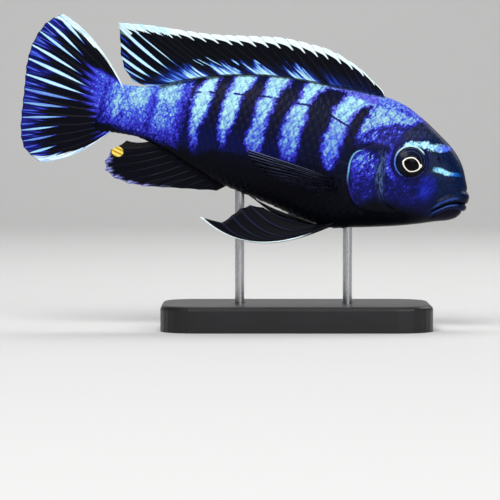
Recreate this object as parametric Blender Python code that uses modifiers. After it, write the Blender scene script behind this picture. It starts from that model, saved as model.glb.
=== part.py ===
# A male Chindongo saulosi at life size, swimming slightly nose down on a two-rod display stand.
# The fish is measured from its snout tip: "behind" runs back along its axis, "side" to its left,
# and "height" up from the axis. An empty carries that frame to its pose over the stand.

import math

import bmesh
import bpy
from mathutils import Vector

MM = 0.001
GAP = 0.3 * MM

# Pose: the photo shows the axis 14 degrees nose down, and the tail swings gently to the fish's left.
NOSE_DOWN = math.radians(14.0)
SNOUT_AHEAD = 33.0 * MM
SNOUT_ABOVE_FLOOR = 25.5 * MM
SWAY_START = 34.0
SWAY_LENGTH = 55.0
SWAY_REACH = 4.0

# Body outline in millimetres: behind the snout, back, belly, half width.
BODY_STATIONS = (
    (0.0, -1.0, -1.0, 0.0),
    (0.3, 1.25, -3.05, 1.9),
    (1.0, 2.9, -4.3, 2.7),
    (2.5, 5.7, -5.3, 3.5),
    (5.0, 8.3, -6.2, 4.2),
    (8.0, 10.25, -7.4, 4.8),
    (12.0, 12.5, -8.8, 5.4),
    (16.0, 14.2, -10.0, 5.8),
    (20.0, 14.8, -11.1, 6.0),
    (25.0, 14.7, -12.2, 6.1),
    (30.0, 14.4, -11.9, 6.0),
    (36.0, 14.1, -10.7, 5.8),
    (42.0, 13.5, -9.8, 5.3),
    (48.0, 12.2, -8.8, 4.5),
    (54.0, 10.3, -7.0, 3.6),
    (60.0, 7.8, -5.1, 2.7),
    (65.0, 5.7, -4.2, 2.1),
    (69.6, 4.9, -4.5, 1.6),
)
WIDEST_LEVEL = 0.44  # share of the depth, from the belly up
BACK_POWER = 1.9  # below 2 the back narrows towards the fin
BELLY_POWER = 2.3
TAIL_BASE = 69.6
PEDUNCLE_START = 63.0
AROUND = 36

# The gill cover's rear edge is where the head ends: degrees down from the back, and how far
# behind the snout it lies there.
GILL_EDGE = (
    (0, 18.2),
    (55, 18.4),
    (66, 19.8),
    (72, 21.6),
    (76, 23.1),
    (80, 23.7),
    (85, 23.9),
    (95, 23.7),
    (108, 22.65),
    (120, 21.2),
    (126, 20.2),
    (132, 18.9),
    (140, 18.4),
    (180, 18.6),
)
GILL_NAPE = GILL_EDGE[0][1]
GILL_COVER = (100, 36)  # middle and spread of the cover, in degrees down from the back
GILL_LIP = 0.3  # the cover stands this proud of the trunk
HEAD_RINGS = 23
TRUNK_RINGS = 20
PEDUNCLE_RINGS = 4

# Mouth: a slit that falls back from the front of the snout, with a lip above and below it.
MOUTH_FRONT = -1.2
MOUTH_FALL = 0.40
MOUTH_LENGTH = 6.3
MOUTH_SLIT = 0.36
UPPER_LIP = (0.95, 0.42)  # radius at the front and at the corner
LOWER_LIP = (0.72, 0.36)

EYE_BEHIND = 12.5
EYE_HEIGHT = 3.8
EYE_RADIUS = 3.25
EYE_DEPTH = 1.7
EYE_STANDS_OUT = 0.85  # of which the skin leaves a disc 2.8 mm in radius open
NOSTRIL = (7.2, 5.7)
NOSTRIL_RADIUS = 0.38

# Fins: membrane, ray ridges and root, in millimetres of full thickness.
MEMBRANE = 0.5
RAY_RIDGE = 0.78
TIP_RAY = 0.62
RAY_HALF_WIDTH = 0.16  # share of the distance to the next ray

DORSAL_SPINES = 18
DORSAL_SOFT_RAYS = 9
DORSAL_FRONT = 20.0
DORSAL_SPINES_END = 49.0
DORSAL_REAR = 62.4
DORSAL_MARGIN = (
    (21.2, 16.0),
    (25.3, 18.6),
    (29.0, 20.1),
    (34.0, 21.2),
    (40.3, 21.2),
    (48.0, 19.9),
    (55.0, 18.5),
    (62.0, 17.75),
    (68.0, 17.2),
    (73.4, 16.3),
)
DORSAL_REAR_EDGE = ((73.4, 16.3), (72.4, 13.4), (71.6, 10.6), (70.2, 7.9), (68.0, 6.1))
DORSAL_SOFT_BOW = (0.5, -0.45)  # how far the first and the last soft ray bow upwards

ANAL_SPINES = 3
ANAL_SOFT_RAYS = 8
ANAL_FRONT = 45.6
ANAL_REAR = 62.2
ANAL_MARGIN = (
    (47.2, -10.6),
    (51.4, -11.4),
    (55.4, -12.1),
    (59.5, -12.9),
    (63.0, -13.4),
    (66.4, -13.2),
    (68.8, -12.2),
    (69.6, -10.6),
    (69.0, -8.0),
    (66.4, -5.4),
)

CAUDAL_RAYS = 16
CAUDAL_ROOT = (4.6, -4.2)
CAUDAL_MARGIN = (
    (84.5, 15.4),
    (87.1, 13.0),
    (88.7, 8.7),
    (88.9, 4.6),
    (88.4, 0.8),
    (87.8, -3.4),
    (87.0, -8.2),
    (85.4, -11.7),
    (81.9, -13.5),
)
CAUDAL_BOW = 1.7

PECTORAL_RAYS = 13
PECTORAL_ROOT = ((25.3, -2.7), (25.9, -5.7))
PECTORAL_MARGIN = ((43.4, -1.3), (42.4, -2.9), (38.8, -4.9), (34.0, -5.9), (28.8, -6.6))
PECTORAL_SPLAY = math.radians(11)

# Pelvic fins: behind, side and height where the first and last rays start, the same at their
# middles, and each ray's tip. The first ray runs on as a filament.
PELVIC_ROOTS = ((23.7, 3.0, 0.0), (26.6, 1.5, 0.0))
PELVIC_SPREAD = {
    "middles": ((36.8, 5.4, -18.1), (31.4, 2.5, -12.7)),
    "tips": (
        (49.1, 7.6, -16.0),
        (44.7, 7.0, -16.1),
        (43.2, 6.3, -14.3),
        (42.0, 5.5, -12.7),
        (40.3, 4.6, -11.6),
        (37.8, 3.6, -11.5),
    ),
}
PELVIC_FOLDED = {
    "middles": ((35.0, 5.4, -11.5), (29.9, 2.3, -12.9)),
    "tips": (
        (45.5, 7.3, -7.9),
        (42.2, 6.7, -9.0),
        (40.4, 5.9, -9.9),
        (38.3, 5.0, -10.9),
        (36.0, 4.1, -11.7),
        (33.6, 3.1, -12.1),
    ),
}

# Stand.
BASE_LENGTH = 52.0 * MM
BASE_WIDTH = 30.0 * MM
BASE_HEIGHT = 5.0 * MM
BASE_CORNER = 7.0 * MM
BASE_EDGE = 0.8 * MM
ROD_RADIUS = 0.9 * MM
ROD_SINK = 2.5 * MM
FRONT_ROD_AT = 9.9 * MM
REAR_ROD_AT = -10.9 * MM

COLOURS = {
    "head": (0.045, 0.050, 0.42),
    "trunk": (0.10, 0.16, 0.75),
    "tail_peduncle": (0.08, 0.12, 0.70),
    "dorsal_fin": (0.012, 0.014, 0.06),
    "caudal_fin": (0.03, 0.05, 0.35),
    "anal_fin": (0.010, 0.010, 0.03),
    "pelvic_fin": (0.010, 0.010, 0.03),
    "pectoral_fin": (0.015, 0.018, 0.06),
    "eye": (0.01, 0.01, 0.015),
    "stand_base": (0.02, 0.02, 0.022),
    "stand_rod": (0.60, 0.60, 0.62),
}


# A smooth function through listed (x, y) points, by cubic pieces with averaged slopes.
def smooth(points):
    xs = [p[0] for p in points]
    ys = [p[1] for p in points]
    steps = [(ys[i + 1] - ys[i]) / (xs[i + 1] - xs[i]) for i in range(len(xs) - 1)]
    slopes = [steps[0]]
    for before, after in zip(steps, steps[1:]):
        slopes.append((before + after) / 2 if before * after > 0 else 0.0)
    slopes.append(steps[-1])

    def value(x):
        i = 0
        while i < len(xs) - 2 and x > xs[i + 1]:
            i += 1
        width = xs[i + 1] - xs[i]
        t = (x - xs[i]) / width
        return (
            (2 * t**3 - 3 * t**2 + 1) * ys[i]
            + (t**3 - 2 * t**2 + t) * width * slopes[i]
            + (3 * t**2 - 2 * t**3) * ys[i + 1]
            + (t**3 - t**2) * width * slopes[i + 1]
        )

    return value


# A point of an edge given by a few (behind, height) points, at a share of its way along.
def along(points, share):
    place = share * (len(points) - 1)
    behind = smooth([(i, p[0]) for i, p in enumerate(points)])
    height = smooth([(i, p[1]) for i, p in enumerate(points)])
    return behind(place), height(place)


# The snout is blunt, so outlines are smoothed over the square root of the distance behind it.
back_of = smooth([(math.sqrt(s[0]), s[1]) for s in BODY_STATIONS])
belly_of = smooth([(math.sqrt(s[0]), s[2]) for s in BODY_STATIONS])
half_width_of = smooth([(math.sqrt(s[0]), s[3]) for s in BODY_STATIONS])
gill_edge_at = smooth(GILL_EDGE)


def section(behind):
    root = math.sqrt(max(behind, 0.0))
    back, belly = back_of(root), belly_of(root)
    level = belly + WIDEST_LEVEL * (back - belly)
    return back, belly, max(half_width_of(root), 0.0), level


def sway(behind):
    past = max(behind - SWAY_START, 0.0) / SWAY_LENGTH
    return SWAY_REACH * past * past


def point(behind, side, height):
    return Vector((-behind, side + sway(behind), height)) * MM


# Around the body: 0 at the back, a quarter turn at the fish's right, half a turn at the belly.
def body_point(behind, around, proud=0.0):
    back, belly, half, level = section(behind)
    up, out = math.cos(around), -math.sin(around)
    power = BACK_POWER if up > 0 else BELLY_POWER
    reach = (back - level) if up > 0 else (level - belly)
    side = math.copysign(abs(out) ** (2 / power), out) * (half + proud)
    height = level + math.copysign(abs(up) ** (2 / power), up) * reach
    return point(behind, side, height)


def half_width_at(behind, height):
    back, belly, half, level = section(behind)
    power = BACK_POWER if height > level else BELLY_POWER
    reach = (back - level) if height > level else (level - belly)
    share = min(abs(height - level) / reach, 1.0)
    return half * (1 - share**power) ** (1 / power)


def belly_at(behind, side):
    back, belly, half, level = section(behind)
    share = min(abs(side) / half, 1.0)
    return level - (level - belly) * (1 - share**BELLY_POWER) ** (1 / BELLY_POWER)


def down_from_back(around):
    return math.degrees(min(around, 2 * math.pi - around))


def gill_edge(around):
    return gill_edge_at(down_from_back(around))


def gill_proud(around, share):
    middle, spread = GILL_COVER
    on_cover = math.exp(-(((down_from_back(around) - middle) / spread) ** 4))
    return GILL_LIP * on_cover * max(0.0, (share - 0.8) / 0.2)


def collection(name):
    made = bpy.data.collections.new(name)
    bpy.context.scene.collection.children.link(made)
    return made


def material(name, colour, roughness=0.35, metallic=0.0):
    made = bpy.data.materials.get(name)
    if made is None:
        made = bpy.data.materials.new(name)
        made.use_nodes = True
        shader = made.node_tree.nodes["Principled BSDF"]
        shader.inputs["Base Color"].default_value = (*colour, 1.0)
        shader.inputs["Roughness"].default_value = roughness
        shader.inputs["Metallic"].default_value = metallic
    return made


def new_object(name, bm, where, parent=None):
    bmesh.ops.recalc_face_normals(bm, faces=bm.faces)
    if bm.calc_volume(signed=True) < 0:
        bmesh.ops.reverse_faces(bm, faces=bm.faces)
    mesh = bpy.data.meshes.new(name)
    bm.to_mesh(mesh)
    bm.free()
    made = bpy.data.objects.new(name, mesh)
    where.objects.link(made)
    made.parent = parent
    return made


def finish(obj, colour, roughness=0.35, metallic=0.0, sharp=40):
    obj.data.materials.clear()
    obj.data.materials.append(material(colour, COLOURS[colour], roughness, metallic))
    obj.data.shade_smooth()
    obj.data.set_sharp_from_angle(angle=math.radians(sharp))
    return obj


# A closed loft: rings of points joined in turn, with a fan from each end ring to its tip point.
def loft(name, rings, first_tip, last_tip, where, parent):
    bm = bmesh.new()
    made = [[bm.verts.new(p) for p in ring] for ring in rings]
    count = len(rings[0])
    for ring, following in zip(made, made[1:]):
        for i in range(count):
            j = (i + 1) % count
            bm.faces.new((ring[i], ring[j], following[j], following[i]))
    for ring, tip in ((made[0], first_tip), (made[-1], last_tip)):
        centre = bm.verts.new(tip)
        for i in range(count):
            bm.faces.new((ring[i], ring[(i + 1) % count], centre))
    return new_object(name, bm, where, parent)


def body_ring(station, offset=0.0, proud=None):
    ring = []
    for i in range(AROUND):
        around = 2 * math.pi * i / AROUND
        ring.append(body_point(station(around) + offset, around, proud(around) if proud else 0.0))
    return ring


def middle_of(behind):
    return point(behind, 0.0, section(behind)[3])


# Applies an object's modifiers and keeps the largest closed surface of the result.
def apply_modifiers(obj):
    bpy.context.view_layer.update()
    graph = bpy.context.evaluated_depsgraph_get()
    made = bpy.data.meshes.new_from_object(obj.evaluated_get(graph))
    obj.modifiers.clear()
    obj.data = made
    bm = bmesh.new()
    bm.from_mesh(made)
    bmesh.ops.triangulate(bm, faces=bm.faces)
    shells = []
    unseen = set(bm.verts)
    while unseen:
        edge = [unseen.pop()]
        shell = set(edge)
        while edge:
            for link in edge.pop().link_edges:
                for vert in link.verts:
                    if vert in unseen:
                        unseen.discard(vert)
                        shell.add(vert)
                        edge.append(vert)
        shells.append(shell)
    shells.sort(key=len)
    spare = [v for shell in shells[:-1] for v in shell]
    bmesh.ops.delete(bm, geom=spare, context="VERTS")
    bm.to_mesh(made)
    bm.free()


def boolean(obj, tools, operation):
    modifier = obj.modifiers.new(operation.lower(), "BOOLEAN")
    modifier.operation = operation
    modifier.operand_type = "COLLECTION"
    modifier.collection = tools
    modifier.solver = "EXACT"
    apply_modifiers(obj)
    for tool in list(tools.objects):
        bpy.data.objects.remove(tool)
    bpy.data.collections.remove(tools)


# A flattened ball whose poles lie on the given axis.
def ball(name, centre, axis, radius, depth, segments, rings, where, parent):
    bm = bmesh.new()
    bmesh.ops.create_uvsphere(bm, u_segments=segments, v_segments=rings, radius=1.0)
    turned = Vector((0.0, 0.0, 1.0)).rotation_difference(axis)
    for v in bm.verts:
        v.co = turned @ Vector((v.co.x * radius, v.co.y * radius, v.co.z * depth)) * MM + centre
    return new_object(name, bm, where, parent)


def mouth_height(behind):
    return MOUTH_FRONT - MOUTH_FALL * behind


# A lip is a tube along the head's surface, from one corner of the mouth round to the other.
def lip(name, radii, lift, where, parent):
    stations = [MOUTH_LENGTH * (1 - i / 9) ** 1.6 for i in range(10)]
    right = []
    for behind in stations:
        height = mouth_height(behind) + lift * (1 - 0.55 * behind / MOUTH_LENGTH)
        side = half_width_at(max(behind, 0.05), height)
        right.append((behind, side, height))
    path = [(b, -s, h) for b, s, h in right] + [(b, s, h) for b, s, h in reversed(right)]
    curve = bpy.data.curves.new(name, "CURVE")
    curve.dimensions = "3D"
    curve.bevel_depth = MM
    curve.bevel_resolution = 3
    curve.use_fill_caps = True
    line = curve.splines.new("POLY")
    line.points.add(len(path) - 1)
    for place, (behind, side, height) in zip(line.points, path):
        centre = point(behind + 0.35 * radii[0], side * 0.94, height)
        place.co = (*centre, 1.0)
        place.radius = radii[0] + (radii[1] - radii[0]) * behind / MOUTH_LENGTH
    drawn = bpy.data.objects.new(name + "_path", curve)
    where.objects.link(drawn)
    drawn.parent = parent
    bpy.context.view_layer.update()
    graph = bpy.context.evaluated_depsgraph_get()
    mesh = bpy.data.meshes.new_from_object(drawn.evaluated_get(graph))
    bpy.data.objects.remove(drawn)
    bm = bmesh.new()
    bm.from_mesh(mesh)
    bmesh.ops.remove_doubles(bm, verts=bm.verts, dist=0.00001)
    return new_object(name, bm, where, parent)


def mouth_cutter(where, parent):
    bm = bmesh.new()
    bmesh.ops.create_cube(bm, size=1.0)
    lead = 2.0
    slope = math.hypot(1.0, MOUTH_FALL)
    for v in bm.verts:
        behind = -lead if v.co.x > 0 else MOUTH_LENGTH
        height = mouth_height(behind) + v.co.z * MOUTH_SLIT * slope
        v.co = point(behind, v.co.y * 16.0, height)
    return new_object("mouth_slit", bm, where, parent)


# Straight out from the head's surface at a place on one side of it.
def outwards(behind, height, hand):
    step = 1.5
    widening = half_width_at(behind + step, height) - half_width_at(behind - step, height)
    narrowing = half_width_at(behind, height - step) - half_width_at(behind, height + step)
    return Vector((widening / (2 * step), hand, narrowing / (2 * step))).normalized()


def eye_place(hand):
    axis = outwards(EYE_BEHIND, EYE_HEIGHT, hand)
    surface = point(EYE_BEHIND, hand * half_width_at(EYE_BEHIND, EYE_HEIGHT), EYE_HEIGHT)
    return surface + axis * (EYE_STANDS_OUT - EYE_DEPTH) * MM, axis


def make_head(parts, pose):
    rings = []
    for i in range(1, HEAD_RINGS + 1):
        share = (i / HEAD_RINGS) ** 1.5
        rings.append(
            body_ring(lambda a: share * gill_edge(a), 0.0, lambda a: gill_proud(a, share))
        )
    tip = point(0.0, 0.0, BODY_STATIONS[0][1])
    head = loft("head", rings, tip, middle_of(GILL_NAPE), parts, pose)
    lips = collection("lips")
    lip("upper_lip", UPPER_LIP, 0.85, lips, pose)
    lip("lower_lip", LOWER_LIP, -0.75, lips, pose)
    boolean(head, lips, "UNION")
    cutters = collection("head_cutters")
    mouth_cutter(cutters, pose)
    for hand, side_name in ((-1, "right"), (1, "left")):
        centre, axis = eye_place(hand)
        radius, depth = EYE_RADIUS + GAP / MM, EYE_DEPTH + GAP / MM
        ball("socket_" + side_name, centre, axis, radius, depth, 24, 12, cutters, pose)
        behind, height = NOSTRIL
        pit = point(behind, hand * half_width_at(behind, height), height)
        axis = outwards(behind, height, hand)
        name = "nostril_" + side_name
        ball(name, pit, axis, NOSTRIL_RADIUS, NOSTRIL_RADIUS, 10, 6, cutters, pose)
    boolean(head, cutters, "DIFFERENCE")
    return finish(head, "head")


def make_eyes(parts, pose):
    for hand, side_name in ((-1, "right"), (1, "left")):
        centre, axis = eye_place(hand)
        name = "eye_" + side_name
        eye = ball(name, centre, axis, EYE_RADIUS, EYE_DEPTH, 20, 10, parts, pose)
        finish(eye, "eye", roughness=0.08)


# Where a vertical rod at that place along the stand meets the belly, in the stand's frame.
def rod_top(at):
    sine, cosine = math.sin(NOSE_DOWN), math.cos(NOSE_DOWN)
    behind = 0.0
    for _ in range(30):
        height = section(behind)[1] * MM
        behind = ((SNOUT_AHEAD - at + height * sine) / cosine) / MM
    height = section(behind)[1] * MM
    up = SNOUT_ABOVE_FLOOR + behind * MM * sine + height * cosine
    return Vector((at, sway(behind) * MM, up))


def cylinder(name, bottom, top, radius, sides, where):
    bm = bmesh.new()
    bmesh.ops.create_cone(
        bm, cap_ends=True, segments=sides, radius1=radius, radius2=radius, depth=top.z - bottom.z
    )
    bmesh.ops.translate(bm, verts=bm.verts, vec=(bottom + top) / 2)
    return new_object(name, bm, where)


def make_trunk(parts, pose):
    rings = []
    for i in range(TRUNK_RINGS + 1):
        share = i / TRUNK_RINGS
        last = PEDUNCLE_START - GAP / MM / 2
        rings.append(
            body_ring(lambda a: (gill_edge(a) + 0.3) * (1 - share) + last * share)
        )
    front = middle_of(GILL_NAPE + 0.3)
    trunk = loft("trunk", rings, front, middle_of(last), parts, pose)
    cutters = collection("trunk_cutters")
    for name, at in (("front", FRONT_ROD_AT), ("rear", REAR_ROD_AT)):
        top = rod_top(at) + Vector((0, 0, ROD_SINK + GAP))
        bottom = top - Vector((0, 0, 2 * ROD_SINK + 2 * MM))
        cylinder("socket_" + name, bottom, top, ROD_RADIUS + GAP, 16, cutters)
    boolean(trunk, cutters, "DIFFERENCE")
    finish(trunk, "trunk")


def make_peduncle(parts, pose):
    first = PEDUNCLE_START + GAP / MM / 2
    rings = []
    for i in range(PEDUNCLE_RINGS + 1):
        behind = first + (TAIL_BASE - first) * i / PEDUNCLE_RINGS
        rings.append(body_ring(lambda a: behind))
    peduncle = loft(
        "tail_peduncle", rings, middle_of(first), middle_of(TAIL_BASE), parts, pose
    )
    finish(peduncle, "tail_peduncle")


# A ray as its root, middle and tip gives the point a share of the way along it.
def ray_point(ray, share):
    root, middle, tip = (Vector(p) for p in ray)
    control = 2 * middle - (root + tip) / 2
    return (1 - share) ** 2 * root + 2 * share * (1 - share) * control + share**2 * tip


def blend_rays(one, other, share):
    return [Vector(a).lerp(Vector(b), share) for a, b in zip(one, other)]


# A fin is a sheet whose columns are its rays and their feet, thickened by Solidify. The rays are
# crests of full thickness and the membrane between them is thinner. The sheet is in triangles, so
# that both faces split alike.
def make_fin(name, rays, root_thick, root_share, rows, notch, colour, parts, pose):
    columns = []
    for i, ray in enumerate(rays):
        if i > 0:
            columns.append((blend_rays(ray, rays[i - 1], RAY_HALF_WIDTH), False, notch))
        columns.append(([Vector(p) for p in ray], True, 0.0))
        if i < len(rays) - 1:
            columns.append((blend_rays(ray, rays[i + 1], RAY_HALF_WIDTH), False, 0.0))
    bm = bmesh.new()
    bmesh.ops.create_grid(bm, x_segments=len(columns) - 1, y_segments=rows, size=0.5)
    weights = {}
    thickest = max(root_thick, RAY_RIDGE)
    for v in bm.verts:
        ray, crest, short = columns[round((v.co.x + 0.5) * (len(columns) - 1))]
        share = v.co.y + 0.5
        length = (ray[2] - ray[0]).length
        place = ray_point(ray, share * (1 - short / length))
        outer = TIP_RAY if crest else MEMBRANE
        thin = MEMBRANE if not crest else RAY_RIDGE + (outer - RAY_RIDGE) * share
        near_root = max(0.0, 1 - share / root_share)
        weights[v.index] = (thin + (root_thick - thin) * near_root) / thickest
        v.co = point(*place)
    bmesh.ops.triangulate(bm, faces=bm.faces)
    fin = new_object(name, bm, parts, pose)
    group = fin.vertex_groups.new(name="thickness")
    for index, weight in weights.items():
        group.add([index], weight, "REPLACE")
    solid = fin.modifiers.new("solidify", "SOLIDIFY")
    solid.thickness = thickest * MM
    solid.offset = 0.0
    solid.vertex_group = group.name
    finish(fin, colour, sharp=60)
    return fin


def straight(root, tip, bow=(0.0, 0.0, 0.0)):
    root, tip = Vector(root), Vector(tip)
    return root, (root + tip) / 2 + Vector(bow), tip


def make_dorsal(parts, pose):
    margin = smooth(DORSAL_MARGIN)
    root_thick = 1.1
    first_tip, last_tip = DORSAL_MARGIN[0][0], 62.3
    rays = []
    for i in range(DORSAL_SPINES):
        share = i / (DORSAL_SPINES - 1)
        behind = DORSAL_FRONT + (DORSAL_SPINES_END - DORSAL_FRONT) * share**1.12
        tip = first_tip + (last_tip - first_tip) * share
        root = (behind, 0.0, section(behind)[0] + 0.32)
        rays.append(straight(root, (tip, 0.0, margin(tip)), (0.25, 0.0, 0.35)))
    edge = [(tip, margin(tip)) for tip in (64.7, 67.2, 69.6, 71.7)]
    for i in range(DORSAL_SOFT_RAYS):
        share = i / (DORSAL_SOFT_RAYS - 1)
        behind = DORSAL_SPINES_END + 1.4 + (DORSAL_REAR - DORSAL_SPINES_END - 1.4) * share
        if i < len(edge):
            tip = edge[i]
        else:
            tip = along(DORSAL_REAR_EDGE, (i - len(edge)) / (DORSAL_SOFT_RAYS - 1 - len(edge)))
        root = (behind, 0.0, section(behind)[0] + 0.32)
        bow = DORSAL_SOFT_BOW[0] + (DORSAL_SOFT_BOW[1] - DORSAL_SOFT_BOW[0]) * share**2
        rays.append(straight(root, (tip[0], 0.0, tip[1]), (0.0, 0.0, bow)))
    make_fin("dorsal_fin", rays, root_thick, 0.25, 6, 0.55, "dorsal_fin", parts, pose)


def make_anal(parts, pose):
    count = ANAL_SPINES + ANAL_SOFT_RAYS
    rays = []
    for i in range(count):
        share = i / (count - 1)
        behind = ANAL_FRONT + (ANAL_REAR - ANAL_FRONT) * share
        tip = along(ANAL_MARGIN, share**1.05)
        root = (behind, 0.0, section(behind)[1] - 0.32)
        rays.append(straight(root, (tip[0], 0.0, tip[1]), (0.0, 0.0, -0.3 * share)))
    make_fin("anal_fin", rays, 1.0, 0.25, 6, 0.3, "anal_fin", parts, pose)


def make_caudal(parts, pose):
    rays = []
    for i in range(CAUDAL_RAYS):
        share = i / (CAUDAL_RAYS - 1)
        top, bottom = CAUDAL_ROOT
        root = (TAIL_BASE + 0.32, 0.0, top + (bottom - top) * share)
        tip = along(CAUDAL_MARGIN, share)
        bow = CAUDAL_BOW * (1 - 2 * share)
        rays.append(straight(root, (tip[0], 0.0, tip[1]), (0.0, 0.0, bow)))
    make_fin("caudal_fin", rays, 2.3, 0.3, 8, 0.3, "caudal_fin", parts, pose)


def make_pectorals(parts, pose):
    root_thick = 1.0
    for hand, side_name in ((-1, "right"), (1, "left")):
        rays = []
        for i in range(PECTORAL_RAYS):
            share = i / (PECTORAL_RAYS - 1)
            behind, height = (a + (b - a) * share for a, b in zip(*PECTORAL_ROOT))
            side = half_width_at(behind, height) + 0.32 + root_thick / 2
            tip = along(PECTORAL_MARGIN, share)
            length = tip[0] - behind
            tip_side = side + length * math.tan(PECTORAL_SPLAY)
            middle = ((behind + tip[0]) / 2, (side + tip_side) / 2 + 0.3, (height + tip[1]) / 2)
            ray = ((behind, side, height), middle, (tip[0], tip_side, tip[1]))
            rays.append([(b, hand * s, h) for b, s, h in ray])
        name = "pectoral_fin_" + side_name
        make_fin(name, rays, root_thick, 0.3, 5, 0.2, "pectoral_fin", parts, pose)


def make_pelvics(parts, pose):
    root_thick = 0.9
    spreads = (("right", -1, PELVIC_SPREAD), ("left", 1, PELVIC_FOLDED))
    for side_name, hand, spread in spreads:
        rays = []
        for i, tip in enumerate(spread["tips"]):
            share = i / (len(spread["tips"]) - 1)
            root = Vector(PELVIC_ROOTS[0]).lerp(Vector(PELVIC_ROOTS[1]), share)
            root.z = belly_at(root.x, root.y) - 0.34 - root_thick / 2
            middle = Vector(spread["middles"][0]).lerp(Vector(spread["middles"][1]), share)
            middle.z -= 1.2 * math.sin(math.pi * share) * (1 if hand < 0 else 0.5)
            rays.append([(b, hand * s, h) for b, s, h in (root, middle, tip)])
        name = "pelvic_fin_" + side_name
        make_fin(name, rays, root_thick, 0.25, 7, 0.2, "pelvic_fin", parts, pose)


def make_stand(parts):
    bm = bmesh.new()
    bmesh.ops.create_cube(bm, size=1.0)
    bmesh.ops.scale(bm, verts=bm.verts, vec=(BASE_LENGTH, BASE_WIDTH, BASE_HEIGHT))
    bmesh.ops.translate(bm, verts=bm.verts, vec=(0, 0, BASE_HEIGHT / 2))
    upright = [e for e in bm.edges if abs(e.verts[0].co.z - e.verts[1].co.z) > BASE_HEIGHT / 2]
    bmesh.ops.bevel(
        bm, geom=upright, offset=BASE_CORNER, segments=7, profile=0.5, affect="EDGES", material=-1
    )
    top = [e for e in bm.edges if all(v.co.z > BASE_HEIGHT * 0.9 for v in e.verts)]
    bmesh.ops.bevel(
        bm, geom=top, offset=BASE_EDGE, segments=3, profile=0.5, affect="EDGES", material=-1
    )
    base = new_object("stand_base", bm, parts)
    cutters = collection("base_cutters")
    for name, at in (("front", FRONT_ROD_AT), ("rear", REAR_ROD_AT)):
        meets = rod_top(at)
        hole = Vector((at, meets.y, BASE_HEIGHT - ROD_SINK - GAP))
        above = Vector((at, meets.y, BASE_HEIGHT + 2 * MM))
        cylinder("hole_" + name, hole, above, ROD_RADIUS + GAP, 16, cutters)
        foot = Vector((at, meets.y, BASE_HEIGHT - ROD_SINK))
        tip = meets + Vector((0, 0, ROD_SINK))
        rod = cylinder("stand_rod_" + name, foot, tip, ROD_RADIUS, 16, parts)
        finish(rod, "stand_rod", roughness=0.3, metallic=1.0)
    boolean(base, cutters, "DIFFERENCE")
    finish(base, "stand_base", roughness=0.4)


def main():
    for obj in list(bpy.data.objects):
        bpy.data.objects.remove(obj)
    parts = collection("saulosi_cichlid")
    pose = bpy.data.objects.new("fish_pose", None)
    parts.objects.link(pose)
    pose.location = (SNOUT_AHEAD, 0.0, SNOUT_ABOVE_FLOOR)
    pose.rotation_euler = (0.0, NOSE_DOWN, 0.0)
    make_head(parts, pose)
    make_eyes(parts, pose)
    make_trunk(parts, pose)
    make_peduncle(parts, pose)
    make_dorsal(parts, pose)
    make_anal(parts, pose)
    make_caudal(parts, pose)
    make_pectorals(parts, pose)
    make_pelvics(parts, pose)
    make_stand(parts)


main()
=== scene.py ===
import math

import bmesh
import bpy
from mathutils import Matrix, Vector


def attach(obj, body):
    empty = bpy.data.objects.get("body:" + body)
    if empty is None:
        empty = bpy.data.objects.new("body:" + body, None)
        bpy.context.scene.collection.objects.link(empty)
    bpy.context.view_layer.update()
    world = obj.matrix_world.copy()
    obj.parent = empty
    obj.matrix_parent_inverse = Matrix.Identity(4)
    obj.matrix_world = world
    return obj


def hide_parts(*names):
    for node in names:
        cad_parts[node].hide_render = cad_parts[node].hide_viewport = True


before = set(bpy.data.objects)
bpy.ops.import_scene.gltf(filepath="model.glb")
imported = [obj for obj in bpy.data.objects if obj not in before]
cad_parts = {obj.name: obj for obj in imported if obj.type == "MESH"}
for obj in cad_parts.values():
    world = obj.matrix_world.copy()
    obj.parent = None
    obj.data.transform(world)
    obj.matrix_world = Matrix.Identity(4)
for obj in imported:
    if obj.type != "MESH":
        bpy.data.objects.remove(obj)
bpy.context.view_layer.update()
mm = 0.001

# Lengths below are in millimetres in the fish's own frame: behind the snout, out to its left side, and height
# above its axis. The fish swims a little nose down, and its tail swings gently to its left.
pose = {
    "noseDown": math.radians(14.0),
    "snoutAhead": 33.0,
    "snoutAboveFloor": 25.5,
    "swayStart": 34.0,
    "swayLength": 55.0,
    "swayReach": 4.0,
}

body = {
    # Behind, back, belly, half width
    "stations": (
        (0.0, -1.0, -1.0, 0.0),
        (0.3, 1.25, -3.05, 1.9),
        (1.0, 2.9, -4.3, 2.7),
        (2.5, 5.7, -5.3, 3.5),
        (5.0, 8.3, -6.2, 4.2),
        (8.0, 10.25, -7.4, 4.8),
        (12.0, 12.5, -8.8, 5.4),
        (16.0, 14.2, -10.0, 5.8),
        (20.0, 14.8, -11.1, 6.0),
        (25.0, 14.7, -12.2, 6.1),
        (30.0, 14.4, -11.9, 6.0),
        (36.0, 14.1, -10.7, 5.8),
        (42.0, 13.5, -9.8, 5.3),
        (48.0, 12.2, -8.8, 4.5),
        (54.0, 10.3, -7.0, 3.6),
        (60.0, 7.8, -5.1, 2.7),
        (65.0, 5.7, -4.2, 2.1),
        (69.6, 4.9, -4.5, 1.6),
    ),
    "widestLevel": 0.44,
    "backPower": 1.9,
    "bellyPower": 2.3,
    "headEnd": 25.0,
    "tailBase": 69.6,
    "wedge": 3.6,  # the scaly foot of the tail fin, past the tail base
    "around": 300,
    "headRings": 128,
    "headSpacing": 1.35,  # above 1 the rings crowd at the snout
    "trunkRings": 100,
    "wedgeRings": 14,
}

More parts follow.
